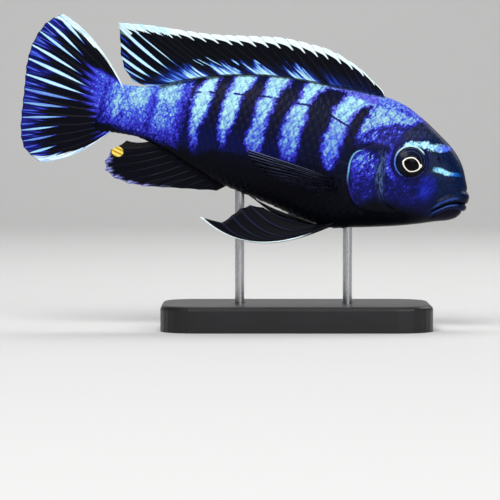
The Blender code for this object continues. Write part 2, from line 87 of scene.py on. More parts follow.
gill = {
    # Degrees down from the back, and how far behind the snout the cover's edge lies there
    "edge": (
        (0, 18.2), (55, 18.4), (66, 19.8), (72, 21.6), (76, 23.1), (80, 23.7), (85, 23.9),
        (95, 23.7), (108, 22.65), (120, 21.2), (126, 20.2), (132, 18.9), (140, 18.4), (180, 18.6),
    ),
    "cover": (100, 36),  # middle and spread of the flap, in degrees too
    "proud": 0.42,
    # The flap's rear edge, as steps behind the edge and how proud each stands. Steps past flapEnd lie on the
    # trunk, and go all the way round.
    "flap": (
        (0.0, 1.0), (0.05, 0.78), (0.02, 0.45), (-0.3, 0.05), (-0.38, -0.18), (0.1, -0.3), (0.45, -0.16),
        (0.9, 0.0),
    ),
    "flapEnd": 0.3,
    "trunkStart": 0.95,
}

mouth = {
    # The mouth line's height is front + rise * behind - bend * behind squared
    "front": -1.6,
    "rise": 0.18,
    "bend": 0.107,
    "length": 6.0,
    "reliefEnd": 10.0,
    "creaseDepth": 0.5,
    "creaseWidth": 0.16,
    "grooveDepth": 0.20,  # around the lips
    "grooveWidth": 0.16,
    "cornerDepth": 0.28,
    "cornerWidth": 0.7,
    "upperLip": (2.45, 1.9),  # height of the lip at the front and at the corner
    "lowerLip": (1.45, 1.2),
    "bulge": 0.45,
}

eye = {
    "behind": 12.5,
    "height": 3.8,
    "radius": 3.25,
    "depth": 1.7,
    "standsOut": 0.85,
    "opening": 2.86,
    "lip": 0.14,  # between the two circles of the opening
    "snap": 0.07,
    "reach": 6.0,  # of its rims
}

nostril = {
    "behind": 7.2,
    "height": 5.7,
    "pitDepth": 0.5,
    "pitWidth": 0.24,
    "rimHeight": 0.10,
    "rimRadius": 0.45,
    "rimWidth": 0.2,
    "reach": 2.0,
}


# A smooth function through listed (x, y) points
def smooth(points):
    xs = [p[0] for p in points]
    ys = [p[1] for p in points]
    steps = [(ys[i + 1] - ys[i]) / (xs[i + 1] - xs[i]) for i in range(len(xs) - 1)]
    slopes = [steps[0]]
    for before, after in zip(steps, steps[1:]):
        slopes.append((before + after) / 2 if before * after > 0 else 0.0)
    slopes.append(steps[-1])

    def value(x):
        i = 0
        while i < len(xs) - 2 and x > xs[i + 1]:
            i += 1
        width = xs[i + 1] - xs[i]
        t = (x - xs[i]) / width
        return (
            (2 * t**3 - 3 * t**2 + 1) * ys[i]
            + (t**3 - 2 * t**2 + t) * width * slopes[i]
            + (3 * t**2 - 2 * t**3) * ys[i + 1]
            + (t**3 - t**2) * width * slopes[i + 1]
        )

    return value


# A point at a share of the way along a smooth line
def along(points, share):
    place = share * (len(points) - 1)
    behind = smooth([(i, p[0]) for i, p in enumerate(points)])
    height = smooth([(i, p[1]) for i, p in enumerate(points)])
    return behind(place), height(place)


def ease(low, high, x):
    t = min(max((x - low) / (high - low), 0.0), 1.0)
    return t * t * (3 - 2 * t)


def bell(x, width):
    return math.exp(-((x / width) ** 2))


# The body's back, belly and half width, kept in fine steps so that they are quick to look up. They follow the
# square root of the distance behind the snout, which rounds the snout.
outlines = [smooth([(math.sqrt(s[0]), s[i]) for s in body["stations"]]) for i in (1, 2, 3)]
stepsPerRoot = 400
longestRoot = math.sqrt(body["tailBase"])
tableLength = int(longestRoot * stepsPerRoot) + 3
outlineTable = [[line(min(i / stepsPerRoot, longestRoot)) for line in outlines] for i in range(tableLength)]
turned = Matrix.Rotation(pose["noseDown"], 3, "Y")
snout = Vector((pose["snoutAhead"], 0.0, pose["snoutAboveFloor"]))


# Back, belly, half width and the level where the body is widest
def section(behind):
    past = max(behind - body["tailBase"], 0.0) / body["wedge"]
    root = math.sqrt(max(min(behind, body["tailBase"]), 0.0)) * stepsPerRoot
    low, high = outlineTable[int(root)], outlineTable[int(root) + 1]
    back, belly, half = (a + (b - a) * (root - int(root)) for a, b in zip(low, high))
    half = max(half, 0.0)
    if past > 0:  # the wedge spreads with the fin and thins into it
        back, belly = back + 1.5 * past - 1.1 * past**3, belly - 1.2 * past + 0.9 * past**3
        half = half * (1 - 0.86 * past)
    return back, belly, half, belly + body["widestLevel"] * (back - belly)


def sway(behind):
    past = max(behind - pose["swayStart"], 0.0) / pose["swayLength"]
    return pose["swayReach"] * past * past


def fishPoint(behind, side, height):
    return (turned @ Vector((-behind, side + sway(behind), height)) + snout) * mm


# Around the body: 0 at the back, a quarter turn at the fish's right, half a turn at the belly
def bodyPoint(behind, around):
    back, belly, half, level = section(behind)
    up, out = math.cos(around), -math.sin(around)
    power = body["backPower"] if up > 0 else body["bellyPower"]
    reach = (back - level) if up > 0 else (level - belly)
    side = math.copysign(abs(out) ** (2 / power), out) * half
    height = level + math.copysign(abs(up) ** (2 / power), up) * reach
    return behind, side, height


def halfWidthAt(behind, height):
    back, belly, half, level = section(behind)
    power = body["backPower"] if height > level else body["bellyPower"]
    reach = (back - level) if height > level else (level - belly)
    share = min(abs(height - level) / reach, 1.0)
    return half * (1 - share**power) ** (1 / power)


def bellyAt(behind, side):
    belly, half, level = section(behind)[1:]
    share = min(abs(side) / half, 1.0)
    return level - (level - belly) * (1 - share ** body["bellyPower"]) ** (1 / body["bellyPower"])


def fromBack(around):
    return math.degrees(min(around, 2 * math.pi - around))


def onCover(around):
    middle, spread = gill["cover"]
    return math.exp(-(((fromBack(around) - middle) / spread) ** 4))


gillEdgeAt = smooth(gill["edge"])


def gillEdge(around):
    return gillEdgeAt(fromBack(around))


# The eye looks out along the flank's own normal. Hand is -1 for the fish's right side and 1 for its left,
# here and below.
def eyeFrame(hand):
    def flank(back, up):
        behind, height = eye["behind"] + back, eye["height"] + up
        return Vector((-behind, halfWidthAt(behind, height), height))

    step = 1.5
    normal = (flank(0, step) - flank(0, -step)).cross(flank(-step, 0) - flank(step, 0)).normalized()
    if normal.y < 0:
        normal.negate()
    centre = flank(0, 0) + normal * (eye["standsOut"] - eye["depth"])
    flip = Vector((1, hand, 1))
    return centre * flip, normal * flip


def faceOut(bm):
    if bm.calc_volume(signed=True) < 0:
        bmesh.ops.reverse_faces(bm, faces=bm.faces)


def meshObject(name, bm, material):
    mesh = bpy.data.meshes.new(name)
    bm.to_mesh(mesh)
    bm.free()
    mesh.materials.append(material)
    mesh.shade_smooth()
    item = bpy.data.objects.new(name, mesh)
    bpy.context.scene.collection.objects.link(item)
    return item


# A piece of the fish, hung under the root: it stands for the solids that are named, which are hidden
def finishPiece(name, bm, material, slotName, *nodes):
    piece = meshObject(name, bm, material)
    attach(piece, "root")
    if nodes:
        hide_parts(*nodes)
    print(name, len(piece.data.polygons), "faces")
    return piece


# Materials: a field is a node's socket, so that the maths of a pattern reads as maths
class Field:
    def __init__(self, paint, socket):
        self.paint = paint
        self.socket = socket

    def __add__(self, other):
        return self.paint.maths("ADD", self, other)

    def __radd__(self, other):
        return self.paint.maths("ADD", other, self)

    def __sub__(self, other):
        return self.paint.maths("SUBTRACT", self, other)

    def __rsub__(self, other):
        return self.paint.maths("SUBTRACT", other, self)

    def __mul__(self, other):
        return self.paint.maths("MULTIPLY", self, other)

    def __rmul__(self, other):
        return self.paint.maths("MULTIPLY", other, self)

    def __truediv__(self, other):
        return self.paint.maths("DIVIDE", self, other)

    def __rtruediv__(self, other):
        return self.paint.maths("DIVIDE", other, self)

    def __pow__(self, other):
        return self.paint.maths("POWER", self, other)

    def __abs__(self):
        return self.paint.maths("ABSOLUTE", self)


class Paint:
    def __init__(self, name):
        self.material = bpy.data.materials.new(name)
        self.material.use_nodes = True
        self.tree = self.material.node_tree
        self.tree.nodes.clear()
        self.shader = self.add("ShaderNodeBsdfPrincipled")
        output = self.add("ShaderNodeOutputMaterial")
        self.tree.links.new(self.shader.outputs[0], output.inputs[0])

    # A node of any kind: its settings are set first, then its sockets get their values or links
    def add(self, kind, settings=None, sockets=None):
        made = self.tree.nodes.new(kind)
        for key, value in (settings or {}).items():
            if key == "stops":
                elements = made.color_ramp.elements
                for place, colour in value[1:-1]:
                    elements.new(place)
                for element, (place, colour) in zip(elements, value):
                    element.position, element.color = place, (*colour, 1.0)
            else:
                setattr(made, key, value)
        for key, value in (sockets or {}).items():
            self.feed(made.inputs[key], value)
        return made

    def feed(self, socket, value):
        if isinstance(value, Field):
            self.tree.links.new(value.socket, socket)
        else:
            socket.default_value = value

    def maths(self, operation, *values):
        made = self.add("ShaderNodeMath", {"operation": operation}, dict(enumerate(values)))
        return Field(self, made.outputs[0])

    def lower(self, a, b):
        return self.maths("MINIMUM", a, b)

    def higher(self, a, b):
        return self.maths("MAXIMUM", a, b)

    # From 0 at one value to 1 at the other, which may be the smaller one
    def ease(self, value, zeroAt, oneAt):
        sockets = {0: value, 1: zeroAt, 2: oneAt}
        made = self.add("ShaderNodeMapRange", {"interpolation_type": "SMOOTHSTEP"}, sockets)
        return Field(self, made.outputs[0])

    def mix(self, share, first, second):
        colours = [(*c, 1.0) if isinstance(c, tuple) else c for c in (first, second)]
        made = self.add("ShaderNodeMix", {"data_type": "RGBA"}, {0: share, 6: colours[0], 7: colours[1]})
        return Field(self, made.outputs[2])

    # The first colour at one value, turning to the second at the other
    def shade(self, value, firstAt, secondAt, first, second):
        return self.mix(self.ease(value, firstAt, secondAt), first, second)

    def vector(self, x, y, z=0.0):
        made = self.add("ShaderNodeCombineXYZ", None, {0: x, 1: y, 2: z})
        return Field(self, made.outputs[0])

    def parts(self, vector):
        made = self.add("ShaderNodeSeparateXYZ", None, {0: vector})
        return [Field(self, socket) for socket in made.outputs]

    def noise(self, vector, scale=1.0, detail=3.0, roughness=0.55):
        sockets = {"Vector": vector, "Scale": scale, "Detail": detail, "Roughness": roughness}
        made = self.add("ShaderNodeTexNoise", None, sockets)
        return Field(self, made.outputs[0])

    def cells(self, vector, scale=1.0, feature="F1"):
        made = self.add("ShaderNodeTexVoronoi", {"feature": feature}, {"Vector": vector, "Scale": scale})
        return Field(self, made.outputs[0])

    # A curve through listed (value, result) points, level beyond them
    def curve(self, value, points):
        xs, ys = zip(*points)
        low, wide, least, most = min(xs), max(xs) - min(xs), min(ys), max(ys)
        share = self.add("ShaderNodeMapRange", None, {0: value, 1: low, 2: low + wide})
        made = self.add("ShaderNodeFloatCurve", None, {"Value": Field(self, share.outputs[0])})
        line = made.mapping.curves[0]
        while len(line.points) < len(points):
            line.points.new(0.5, 0.5)
        for point, (x, y) in zip(line.points, sorted(points)):
            point.location = ((x - low) / wide, (y - least) / (most - least))
        made.mapping.update()
        return Field(self, made.outputs[0]) * (most - least) + least

    def ramp(self, value, stops):
        made = self.add("ShaderNodeValToRGB", {"stops": stops}, {0: value})
        return Field(self, made.outputs[0])

    def dim(self, colour, share):
        made = self.add("ShaderNodeVectorMath", {"operation": "SCALE"}, {0: colour, 3: share})
        return Field(self, made.outputs[0])

    def bump(self, height, strength, distance):
        sockets = {"Height": height, "Strength": strength, "Distance": distance}
        return Field(self, self.add("ShaderNodeBump", None, sockets).outputs[0])

    def objectPlace(self):
        return Field(self, self.add("ShaderNodeTexCoord").outputs["Object"])

    # Millimetres behind the snout, to the side and above the axis, from the piece's place
    def fishSpace(self):
        mapped = self.add("ShaderNodeMapping", {"vector_type": "TEXTURE"}, {
            "Vector": self.objectPlace(),
            "Location": tuple(snout * mm),
            "Rotation": (0.0, pose["noseDown"], 0.0),
            "Scale": (-mm, mm, mm),
        })
        return self.parts(Field(self, mapped.outputs[0]))

    def uv(self, name):
        made = self.add("ShaderNodeUVMap", {"uv_map": name})
        return self.parts(Field(self, made.outputs[0]))[:2]

    def set(self, **sockets):
        for key, value in sockets.items():
            words = key[0].upper() + "".join(" " + c if c.isupper() else c for c in key[1:])
            words = words.replace("Specular Level", "Specular IOR Level")
            self.feed(self.shader.inputs[words], value)
        return self.material


# A point's place in an ellipse's own axes, where the ellipse lies at 1
def inEllipse(behind, height, at, radii, lean):
    turn, rise = math.cos(math.radians(lean)), math.sin(math.radians(lean))
    x, z = behind - at[0], height - at[1]
    return (x * turn + z * rise) / radii[0], (z * turn - x * rise) / radii[1]


def blob(paint, behind, height, at, radii, lean=0.0):
    a, b = inEllipse(behind, height, at, radii, lean)
    return paint.maths("SQRT", a * a + b * b)


# Like a blob, but drawn out to points in front and behind
def pointed(behind, height, at, radii, lean):
    a, b = inEllipse(behind, height, at, radii, lean)
    return (abs(a) ** 1.55 + abs(b) ** 1.75) ** 0.61


# A fine noise around 0, in millimetres of the fish's own frame
def specklesOf(paint, place, scale):
    return paint.noise(place, scale, 2.0, 0.6) - 0.5


# The light a material keeps, from the value it shows on a display, 0 to 255
def shown(*values):
    return tuple(((v / 255 + 0.055) / 1.055) ** 2.4 for v in values)


# The colours of the skin, before the light falls on them
tint = {
    "white": shown(222, 240, 243),
    "ice": shown(196, 236, 232),
    "cyan": shown(148, 200, 214),
    "sky": shown(102, 144, 200),
    "blue": shown(58, 80, 206),
    "violet": shown(50, 44, 186),
    "deep": shown(20, 22, 112),
    "navy": shown(8, 14, 62),
    "dusk": shown(8, 12, 38),
    "black": shown(1, 3, 13),
}

# How the skin brightens from its dark ground to its palest flecks
glowRamp = (
    (0.0, tint["dusk"]), (0.14, tint["navy"]), (0.26, tint["deep"]), (0.40, tint["violet"]),
    (0.54, tint["blue"]), (0.68, tint["sky"]), (0.86, tint["cyan"]), (1.0, shown(170, 218, 224)),
)

# The same for the fins, which are black between their streaks, and for the flames at the dorsal fin's foot
finDark = ((0.0, tint["black"]), (0.10, shown(6, 9, 26)))
finRamp = finDark + glowRamp[1:-2] + ((0.84, shown(158, 212, 226)), (1.0, shown(200, 236, 240)))
flameRamp = finDark + (
    (0.26, shown(10, 24, 82)), (0.42, shown(28, 56, 156)), (0.56, shown(58, 102, 206)),
    (0.70, shown(104, 158, 220)), (0.88, tint["cyan"]), (1.0, shown(190, 226, 234)),
)

# Pale bars on the flank: where each one's front and rear edges lie at heights above the fish's axis, how low
# it reaches, and how bright it is at some heights
lightBars = (
    {
        "front": ((-2.0, 27.2), (0.7, 26.3), (4.3, 26.0), (8.3, 25.6), (10.0, 25.2), (11.7, 23.5),
                  (12.8, 20.5)),
        "rear": ((-1.9, 27.5), (-0.6, 28.5), (0.8, 29.3), (2.5, 29.8), (4.3, 29.9), (5.8, 29.4), (7.2, 29.1),
                 (8.9, 29.3), (10.5, 28.6), (11.6, 27.9), (13.6, 27.6)),
        "low": -1.9,
        "glow": ((-2.0, 0.44), (0.0, 0.52), (5.4, 0.62), (8.0, 0.72), (11.0, 0.80)),
    },
    {
        "front": ((-1.9, 34.7), (1.0, 34.1), (4.5, 34.3), (6.2, 34.0), (9.6, 33.8), (11.6, 33.2),
                  (12.7, 32.3), (14.2, 30.6)),
        "rear": ((-1.5, 36.8), (-0.3, 37.4), (1.4, 37.8), (4.5, 38.0), (5.7, 37.7), (8.2, 36.9), (9.2, 36.4),
                 (10.6, 36.0), (12.3, 35.8), (13.7, 34.8)),
        "low": -2.0,
        "glow": ((-2.0, 0.46), (0.0, 0.56), (4.4, 0.66), (8.0, 0.76), (12.0, 0.82)),
    },
    {
        "front": ((-2.1, 41.2), (-0.7, 40.9), (2.8, 41.1), (6.1, 40.8), (9.8, 40.1), (11.3, 39.6),
                  (12.7, 38.6), (14.1, 38.2)),
        "rear": ((-3.3, 42.3), (-2.1, 42.9), (-1.2, 43.7), (0.3, 44.2), (1.6, 44.2), (2.9, 43.6), (7.9, 43.5),
                 (8.9, 43.0), (12.3, 42.8), (13.5, 42.4)),
        "low": -3.3,
        "glow": ((-3.3, 0.42), (0.0, 0.58), (5.0, 0.70), (9.0, 0.80), (13.0, 0.84)),
    },
    {
        "front": ((-1.7, 48.0), (1.4, 47.5), (4.9, 47.0), (8.8, 46.8), (10.5, 45.7), (12.6, 45.0)),
        "rear": ((-1.6, 48.4), (-0.3, 49.4), (1.3, 49.8), (5.9, 49.9), (7.3, 49.6), (9.5, 49.3), (10.8, 49.0),
                 (12.4, 48.6)),
        "low": -2.0,
        "glow": ((-2.0, 0.42), (0.0, 0.58), (3.0, 0.76), (8.0, 0.86), (12.0, 0.88)),
    },
    {
        "front": ((-5.2, 53.0), (0.0, 53.3), (2.9, 52.7), (5.9, 52.4), (8.9, 52.3), (10.5, 51.9)),
        "rear": ((-5.2, 53.6), (-3.2, 54.2), (-1.3, 55.1), (2.0, 55.5), (5.3, 55.7), (6.6, 55.6), (8.3, 54.9),
                 (9.7, 54.2)),
        "low": -5.2,
        "glow": ((-5.0, 0.36), (-1.0, 0.54), (2.7, 0.80), (7.0, 0.88), (10.0, 0.88)),
    },
)

# Lines on the skin, as (behind, height)
levelLines = {
    "napeLow": ((8.0, 12.4), (10.5, 11.8), (12.2, 11.6), (13.1, 11.0), (14.6, 10.1), (16.1, 10.1),
                (17.5, 9.8), (18.7, 9.3), (19.9, 8.8), (21.0, 7.9), (22.3, 6.9), (23.0, 6.1), (24.4, 4.6)),
    "crest": ((9.0, 11.6), (12.0, 12.2), (16.2, 12.9), (18.4, 13.2), (22.3, 13.0), (23.9, 13.4), (26.2, 13.6),
              (28.1, 13.2), (31.0, 15.5)),
    "stripeTop": ((4.6, 8.5), (6.7, 8.5), (7.6, 8.4), (9.2, 8.2), (10.4, 8.4), (11.6, 7.95), (12.9, 7.8),
                  (13.9, 7.4), (14.8, 6.5)),
    "stripeLow": ((4.6, 8.1), (6.0, 7.5), (7.1, 7.0), (8.2, 6.85), (9.4, 6.9), (10.5, 6.9), (12.4, 6.7),
                  (13.6, 6.4), (14.8, 5.9)),
    "browTop": ((5.0, 9.4), (9.6, 11.3), (10.6, 11.3), (12.1, 11.6), (13.0, 11.1), (13.7, 10.3), (14.5, 9.6),
                (15.6, 8.4)),
    "browLow": ((5.0, 8.8), (8.6, 8.6), (10.5, 8.7), (12.3, 8.4), (13.7, 8.1), (14.6, 7.3), (15.6, 7.6)),
    "lowerStripe": ((2.1, 3.7), (3.9, 3.5), (5.0, 3.4), (6.6, 3.6), (7.8, 3.3)),
    "lateralLine": ((24.0, 7.2), (26.5, 7.8), (29.0, 8.6), (33.8, 9.6), (36.0, 9.45), (40.9, 9.4),
                    (42.7, 9.2), (48.0, 8.4), (56.0, 6.8)),
    "ridge": ((16.0, 14.2), (20.0, 14.8), (25.0, 14.7), (31.0, 14.35), (36.0, 14.1)),
    "blueEnd": ((26.0, -2.0), (40.0, -2.4), (50.0, -3.4), (53.5, -5.2), (60.0, -4.5), (65.7, -3.8),
                (70.0, -3.6), (75.0, -3.0)),
}

# Lines that run down the head, as (height, behind)
uprightLines = {
    "split": ((-12.0, 18.6), (-7.5, 19.6), (-6.8, 20.6), (-6.1, 21.5), (-5.3, 22.2), (-4.3, 22.8),
              (-2.8, 23.5), (-1.6, 23.9), (0.0, 24.05), (1.0, 24.1), (2.2, 23.9), (3.1, 23.4), (3.7, 23.0),
              (4.4, 24.1), (4.8, 24.3), (6.7, 23.9), (8.6, 23.6), (10.5, 22.9), (12.3, 22.0), (14.0, 21.0)),
    "coverRim": ((-7.5, 18.7), (-7.3, 19.5), (-6.8, 20.4), (-6.1, 21.3), (-5.3, 22.0), (-4.3, 22.6),
                 (-2.8, 23.4), (-1.6, 23.7), (-0.3, 23.8), (1.0, 23.9), (2.2, 23.7), (3.1, 23.2), (3.7, 22.4),
                 (4.0, 21.4)),
    "preopercle": ((-5.0, 15.8), (-3.2, 16.7), (-1.5, 17.4), (0.9, 17.8), (2.7, 17.8), (4.5, 18.1)),
}

# Patches of the head: centre as (behind, height), radii, and a lean in degrees
headSpots = {
    "violet": ((19.6, 6.9), (5.2, 2.3), -24.0),
    "cover": ((20.9, 0.6), (2.8, 3.8)),
    "coverTop": ((22.4, 2.2), (2.0, 2.2)),
    "coverLow": ((20.3, -3.6), (2.9, 3.2)),
    "smudge": ((19.6, 4.9), (3.6, 1.0), -6.0),
    "cheek": ((13.0, -2.3), (4.6, 3.0)),
    "muzzleGap": ((8.4, -0.5), (2.2, 2.9), 12.0),
    "muzzlePatch": ((8.4, -0.4), (1.8, 2.7), 12.0),
    "crescent": ((eye["behind"] + 0.5, eye["height"] - 0.1), (3.9, 4.3)),
    "orbit": ((eye["behind"], eye["height"]), (1.0, 1.0)),
}

# Clouds on the tail root: centre, radii and how much brighter or darker they are
tailClouds = (
    ((60.6, 5.6), (2.4, 2.6), 0.16), ((66.2, 3.3), (1.9, 2.2), 0.17), ((57.3, 3.0), (1.1, 6.5), -0.26),
    ((63.2, 2.0), (1.0, 5.0), -0.22), ((69.9, 0.8), (0.6, 3.6), 0.16), ((61.2, -0.5), (1.8, 2.0), 0.08),
)


# Paint for the skin and its scales: a point's place on the fish, and the noises that roughen every marking
class SkinPaint(Paint):
    def __init__(self, name):
        super().__init__(name)
        behind, side, height = self.fishSpace()
        self.behind, self.side, self.height = behind, side, height
        self.place = self.vector(behind, side, height)
        # Strokes lean forwards as they rise, as the sheen of the scales does
        self.leaned = self.vector(behind * 1.75 + height * 1.05, side * 1.1, height * 0.62 - behind * 0.37)
        self.strokes = self.noise(self.leaned, 1.0, 2.0, 0.7) - 0.5
        self.speckle = specklesOf(self, self.place, 2.4)
        self.slow = self.noise(self.place, 0.33, 2.0) - 0.5

    def level(self, name):
        return self.curve(self.behind, levelLines[name])

    def upright(self, name):
        return self.curve(self.height, uprightLines[name])

    # How far a point lies between two level lines, below 0 outside them
    def within(self, top, low):
        return self.lower(self.level(top) - self.height, self.height - self.level(low))

    def spot(self, name):
        return blob(self, self.behind, self.height, *headSpots[name])


def raised(base, mask, to):
    return base + mask * (to - base)


# How brightly the light bars shine at each place: 0 in the dark between them
def barGlow(paint, behind, height, ragged):
    best = None
    for bar in lightBars:
        front, rear = paint.curve(height, bar["front"]), paint.curve(height, bar["rear"])
        inside = paint.lower(behind - front, rear - behind)
        inside = paint.lower(inside, (height - bar["low"]) * 0.42) + ragged
        glow = paint.ease(inside, -1.05, 0.85) * (paint.curve(height, bar["glow"]) * 1.07 + 0.02)
        best = glow if best is None else paint.higher(best, glow)
    return best


# Flank: the pale bars, a wash between their feet, and the mottled tail root
def flankGlow(paint):
    behind, height = paint.behind, paint.height
    strokes, speckle, slow = paint.strokes, paint.speckle, paint.slow
    glow = barGlow(paint, behind + slow * 1.2, height + slow * 1.5, speckle * 1.0 + strokes * 0.9)
    line = abs(height - paint.level("lateralLine") + speckle * 0.5)
    dash = paint.ease(line, 0.26, 0.12) * paint.ease(slow * 2.0 + strokes, -0.30, -0.05)
    glow = glow * (1.0 - dash * 0.75)
    wash = paint.ease(height + speckle * 2.0, -6.0, -2.4) * paint.ease(height, 3.5, -1.0)
    glow = paint.higher(glow, wash * paint.ease(behind, 30.0, 38.0) * 0.135)
    onRoot = paint.ease(behind + speckle * 2.0, 55.6, 57.4)
    root = paint.ease(height + speckle * 2.0, -6.0, 3.0) * 0.37 + 0.30
    for at, radii, gain in tailClouds:
        root = root + paint.ease(blob(paint, behind, height, at, radii), 1.35, 0.3) * gain
    root = root + speckle * 0.35 - paint.ease(behind, 70.4, 73.0) * 0.20
    glow = paint.higher(glow, root * onRoot)
    fromEnd = height - paint.level("blueEnd") + slow * 1.6 + speckle * 1.5
    return glow * paint.ease(fromEnd, -0.5, 1.0), onRoot


# Head: the pale nape, then a violet zone over a dark cheek and cover
def headGlow(paint):
    behind, side, height = paint.behind, paint.side, paint.height
    strokes, speckle = paint.strokes, paint.speckle
    specks = paint.cells(paint.vector(behind * 1.5 + height * 0.5, side, height * 1.1 - behind * 0.3), 1.0)
    dots = paint.ease(specks + speckle * 0.5, 0.30, 0.14)
    head = 0.10 + paint.ease(height, -7.0, 4.0) * 0.07
    violet = paint.ease(paint.spot("violet") + speckle, 1.25, 0.55)
    head = raised(head, violet, 0.37)
    head = raised(head, violet * paint.ease(strokes, 0.05, 0.16), 0.62)
    head = raised(head, violet * paint.ease(strokes, -0.04, -0.14), 0.20)
    cover = paint.ease(paint.spot("cover") + speckle * 0.6, 1.15, 0.65)
    head = raised(head, cover, 0.37 + paint.ease(paint.spot("coverTop"), 1.2, 0.2) * 0.26)
    coverLow = paint.ease(paint.spot("coverLow") + speckle * 0.6, 1.2, 0.5)
    head = raised(head, coverLow * (1.0 - cover), 0.24)
    flecks = paint.ease(paint.noise(paint.leaned, 1.5, 1.0, 0.5), 0.56, 0.66)
    head = raised(head, cover * flecks * paint.ease(height, -2.0, 2.5), 0.84)
    head = raised(head, paint.higher(cover, coverLow * 0.5) * dots, 0.64)
    crescent = paint.ease(abs(paint.spot("crescent") - 1.0) + speckle * 0.2, 0.20, 0.08)
    crescent = crescent * paint.ease(behind * 0.8 - height * 0.2, 9.6, 11.4) * paint.ease(height, 6.4, 5.0)
    head = raised(head, crescent, 0.42)
    head = raised(head, crescent * dots, 0.75)
    smudge = paint.ease(paint.spot("smudge") + speckle * 1.1 + strokes * 0.8, 1.15, 0.5)
    head = head * (1.0 - smudge * 0.72)
    cheek = paint.ease(paint.spot("cheek") + speckle * 0.6, 1.2, 0.5)
    head = raised(head, cheek, 0.20)
    head = raised(head, cheek * dots * 0.8, 0.42)
    crest = paint.ease(paint.level("crest") - height + speckle * 1.4, -0.2, 1.1)
    napeGlow = 0.50 + crest * 0.18 + paint.ease(behind, 11.0, 20.0) * 0.09
    onNape = paint.ease(height - paint.level("napeLow") + speckle * 1.2, -0.5, 0.9)
    head = raised(head, onNape * paint.ease(behind + speckle * 1.5, 9.8, 12.6), napeGlow)
    # Dark along the gill cover's rear edge: the dark bar behind the head, with painted shade in the gap under
    # the flap
    barAndGapShade = paint.ease(paint.upright("split") - behind + strokes * 1.0 + speckle * 0.6, 0.95, -0.15)
    head = head * (1.0 - barAndGapShade * paint.ease(height + strokes * 3.0, 12.6, 9.6) * (0.80 - speckle * 1.2))
    return head, onNape, crest, coverLow


# Cheek: a slate band down the preopercle, and the dark brow between the nape and the upper stripe
def cheekMarks(paint, colour):
    behind, side, height = paint.behind, paint.side, paint.height
    strokes, speckle = paint.strokes, paint.speckle
    away = behind - paint.upright("preopercle")
    lines = paint.noise(paint.vector(away * 2.6, side * 0.5, height * 0.55), 1.0, 3.0, 0.6) - 0.5
    band = paint.ease(abs(away + strokes * 1.2), 1.25, 0.25) * paint.ease(height, -5.4, -1.6)
    band = band * paint.ease(height + speckle * 3.0, 5.6, 3.2)
    slate = paint.shade(lines + speckle * 0.4, -0.10, 0.14, shown(12, 20, 58), shown(74, 98, 150))
    colour = paint.mix(band * 0.85, colour, slate)
    brow = paint.ease(paint.within("browTop", "browLow") + speckle * 0.9, -0.3, 0.6)
    brow = brow * paint.ease(behind, 15.4, 13.9)
    umber = paint.shade(strokes + speckle, -0.15, 0.2, shown(26, 27, 38), shown(40, 52, 96))
    return paint.mix(brow * 0.92, colour, umber)


# Snout: dark blue-green with a bluer patch, and two pale stripes across it
def snoutMarks(paint, colour):
    behind, height = paint.behind, paint.height
    strokes, speckle = paint.strokes, paint.speckle
    muzzle = paint.ease(behind + speckle, 10.4, 8.6) * paint.ease(height, -3.0, -0.6)
    muzzle = muzzle * paint.ease(paint.spot("muzzleGap") + speckle * 0.5, 0.8, 1.15)
    petrol = paint.shade(speckle, -0.1, 0.25, shown(4, 18, 42), shown(12, 34, 80))
    colour = paint.mix(muzzle * 0.9, colour, petrol)
    patch = paint.ease(paint.spot("muzzlePatch") + speckle * 0.9, 1.30, 0.35)
    royal = paint.shade(strokes, -0.12, 0.16, shown(14, 20, 118), shown(30, 44, 172))
    colour = paint.mix(patch * 0.9, colour, royal)
    upper = paint.within("stripeTop", "stripeLow")
    upper = paint.ease(upper + speckle * 1.3 + strokes * 0.7, -0.15, 0.35)
    upper = upper * paint.ease(behind + strokes * 2.0, 4.8, 6.2) * paint.ease(behind, 14.8, 14.0)
    shine = paint.shade(strokes + speckle, -0.12, 0.12, shown(120, 182, 224), shown(178, 230, 242))
    shine = paint.shade(behind + strokes * 3.0, 6.6, 8.6, shown(76, 104, 222), shine)
    colour = paint.mix(upper, colour, shine)
    lower = abs(height - paint.level("lowerStripe") + speckle * 0.5)
    lower = paint.ease(lower + strokes * 0.5 - paint.ease(behind, 4.0, 6.0) * 0.12, 0.52, 0.18)
    ends = behind + strokes * 2.0
    lower = lower * paint.ease(ends, 2.0, 3.6) * paint.ease(ends, 8.1, 7.2)
    shine = paint.shade(strokes + speckle, -0.12, 0.12, shown(84, 168, 220), shown(168, 228, 238))
    shine = paint.shade(ends, 3.6, 5.2, shown(24, 96, 190), shine)
    return paint.mix(lower, colour, shine)
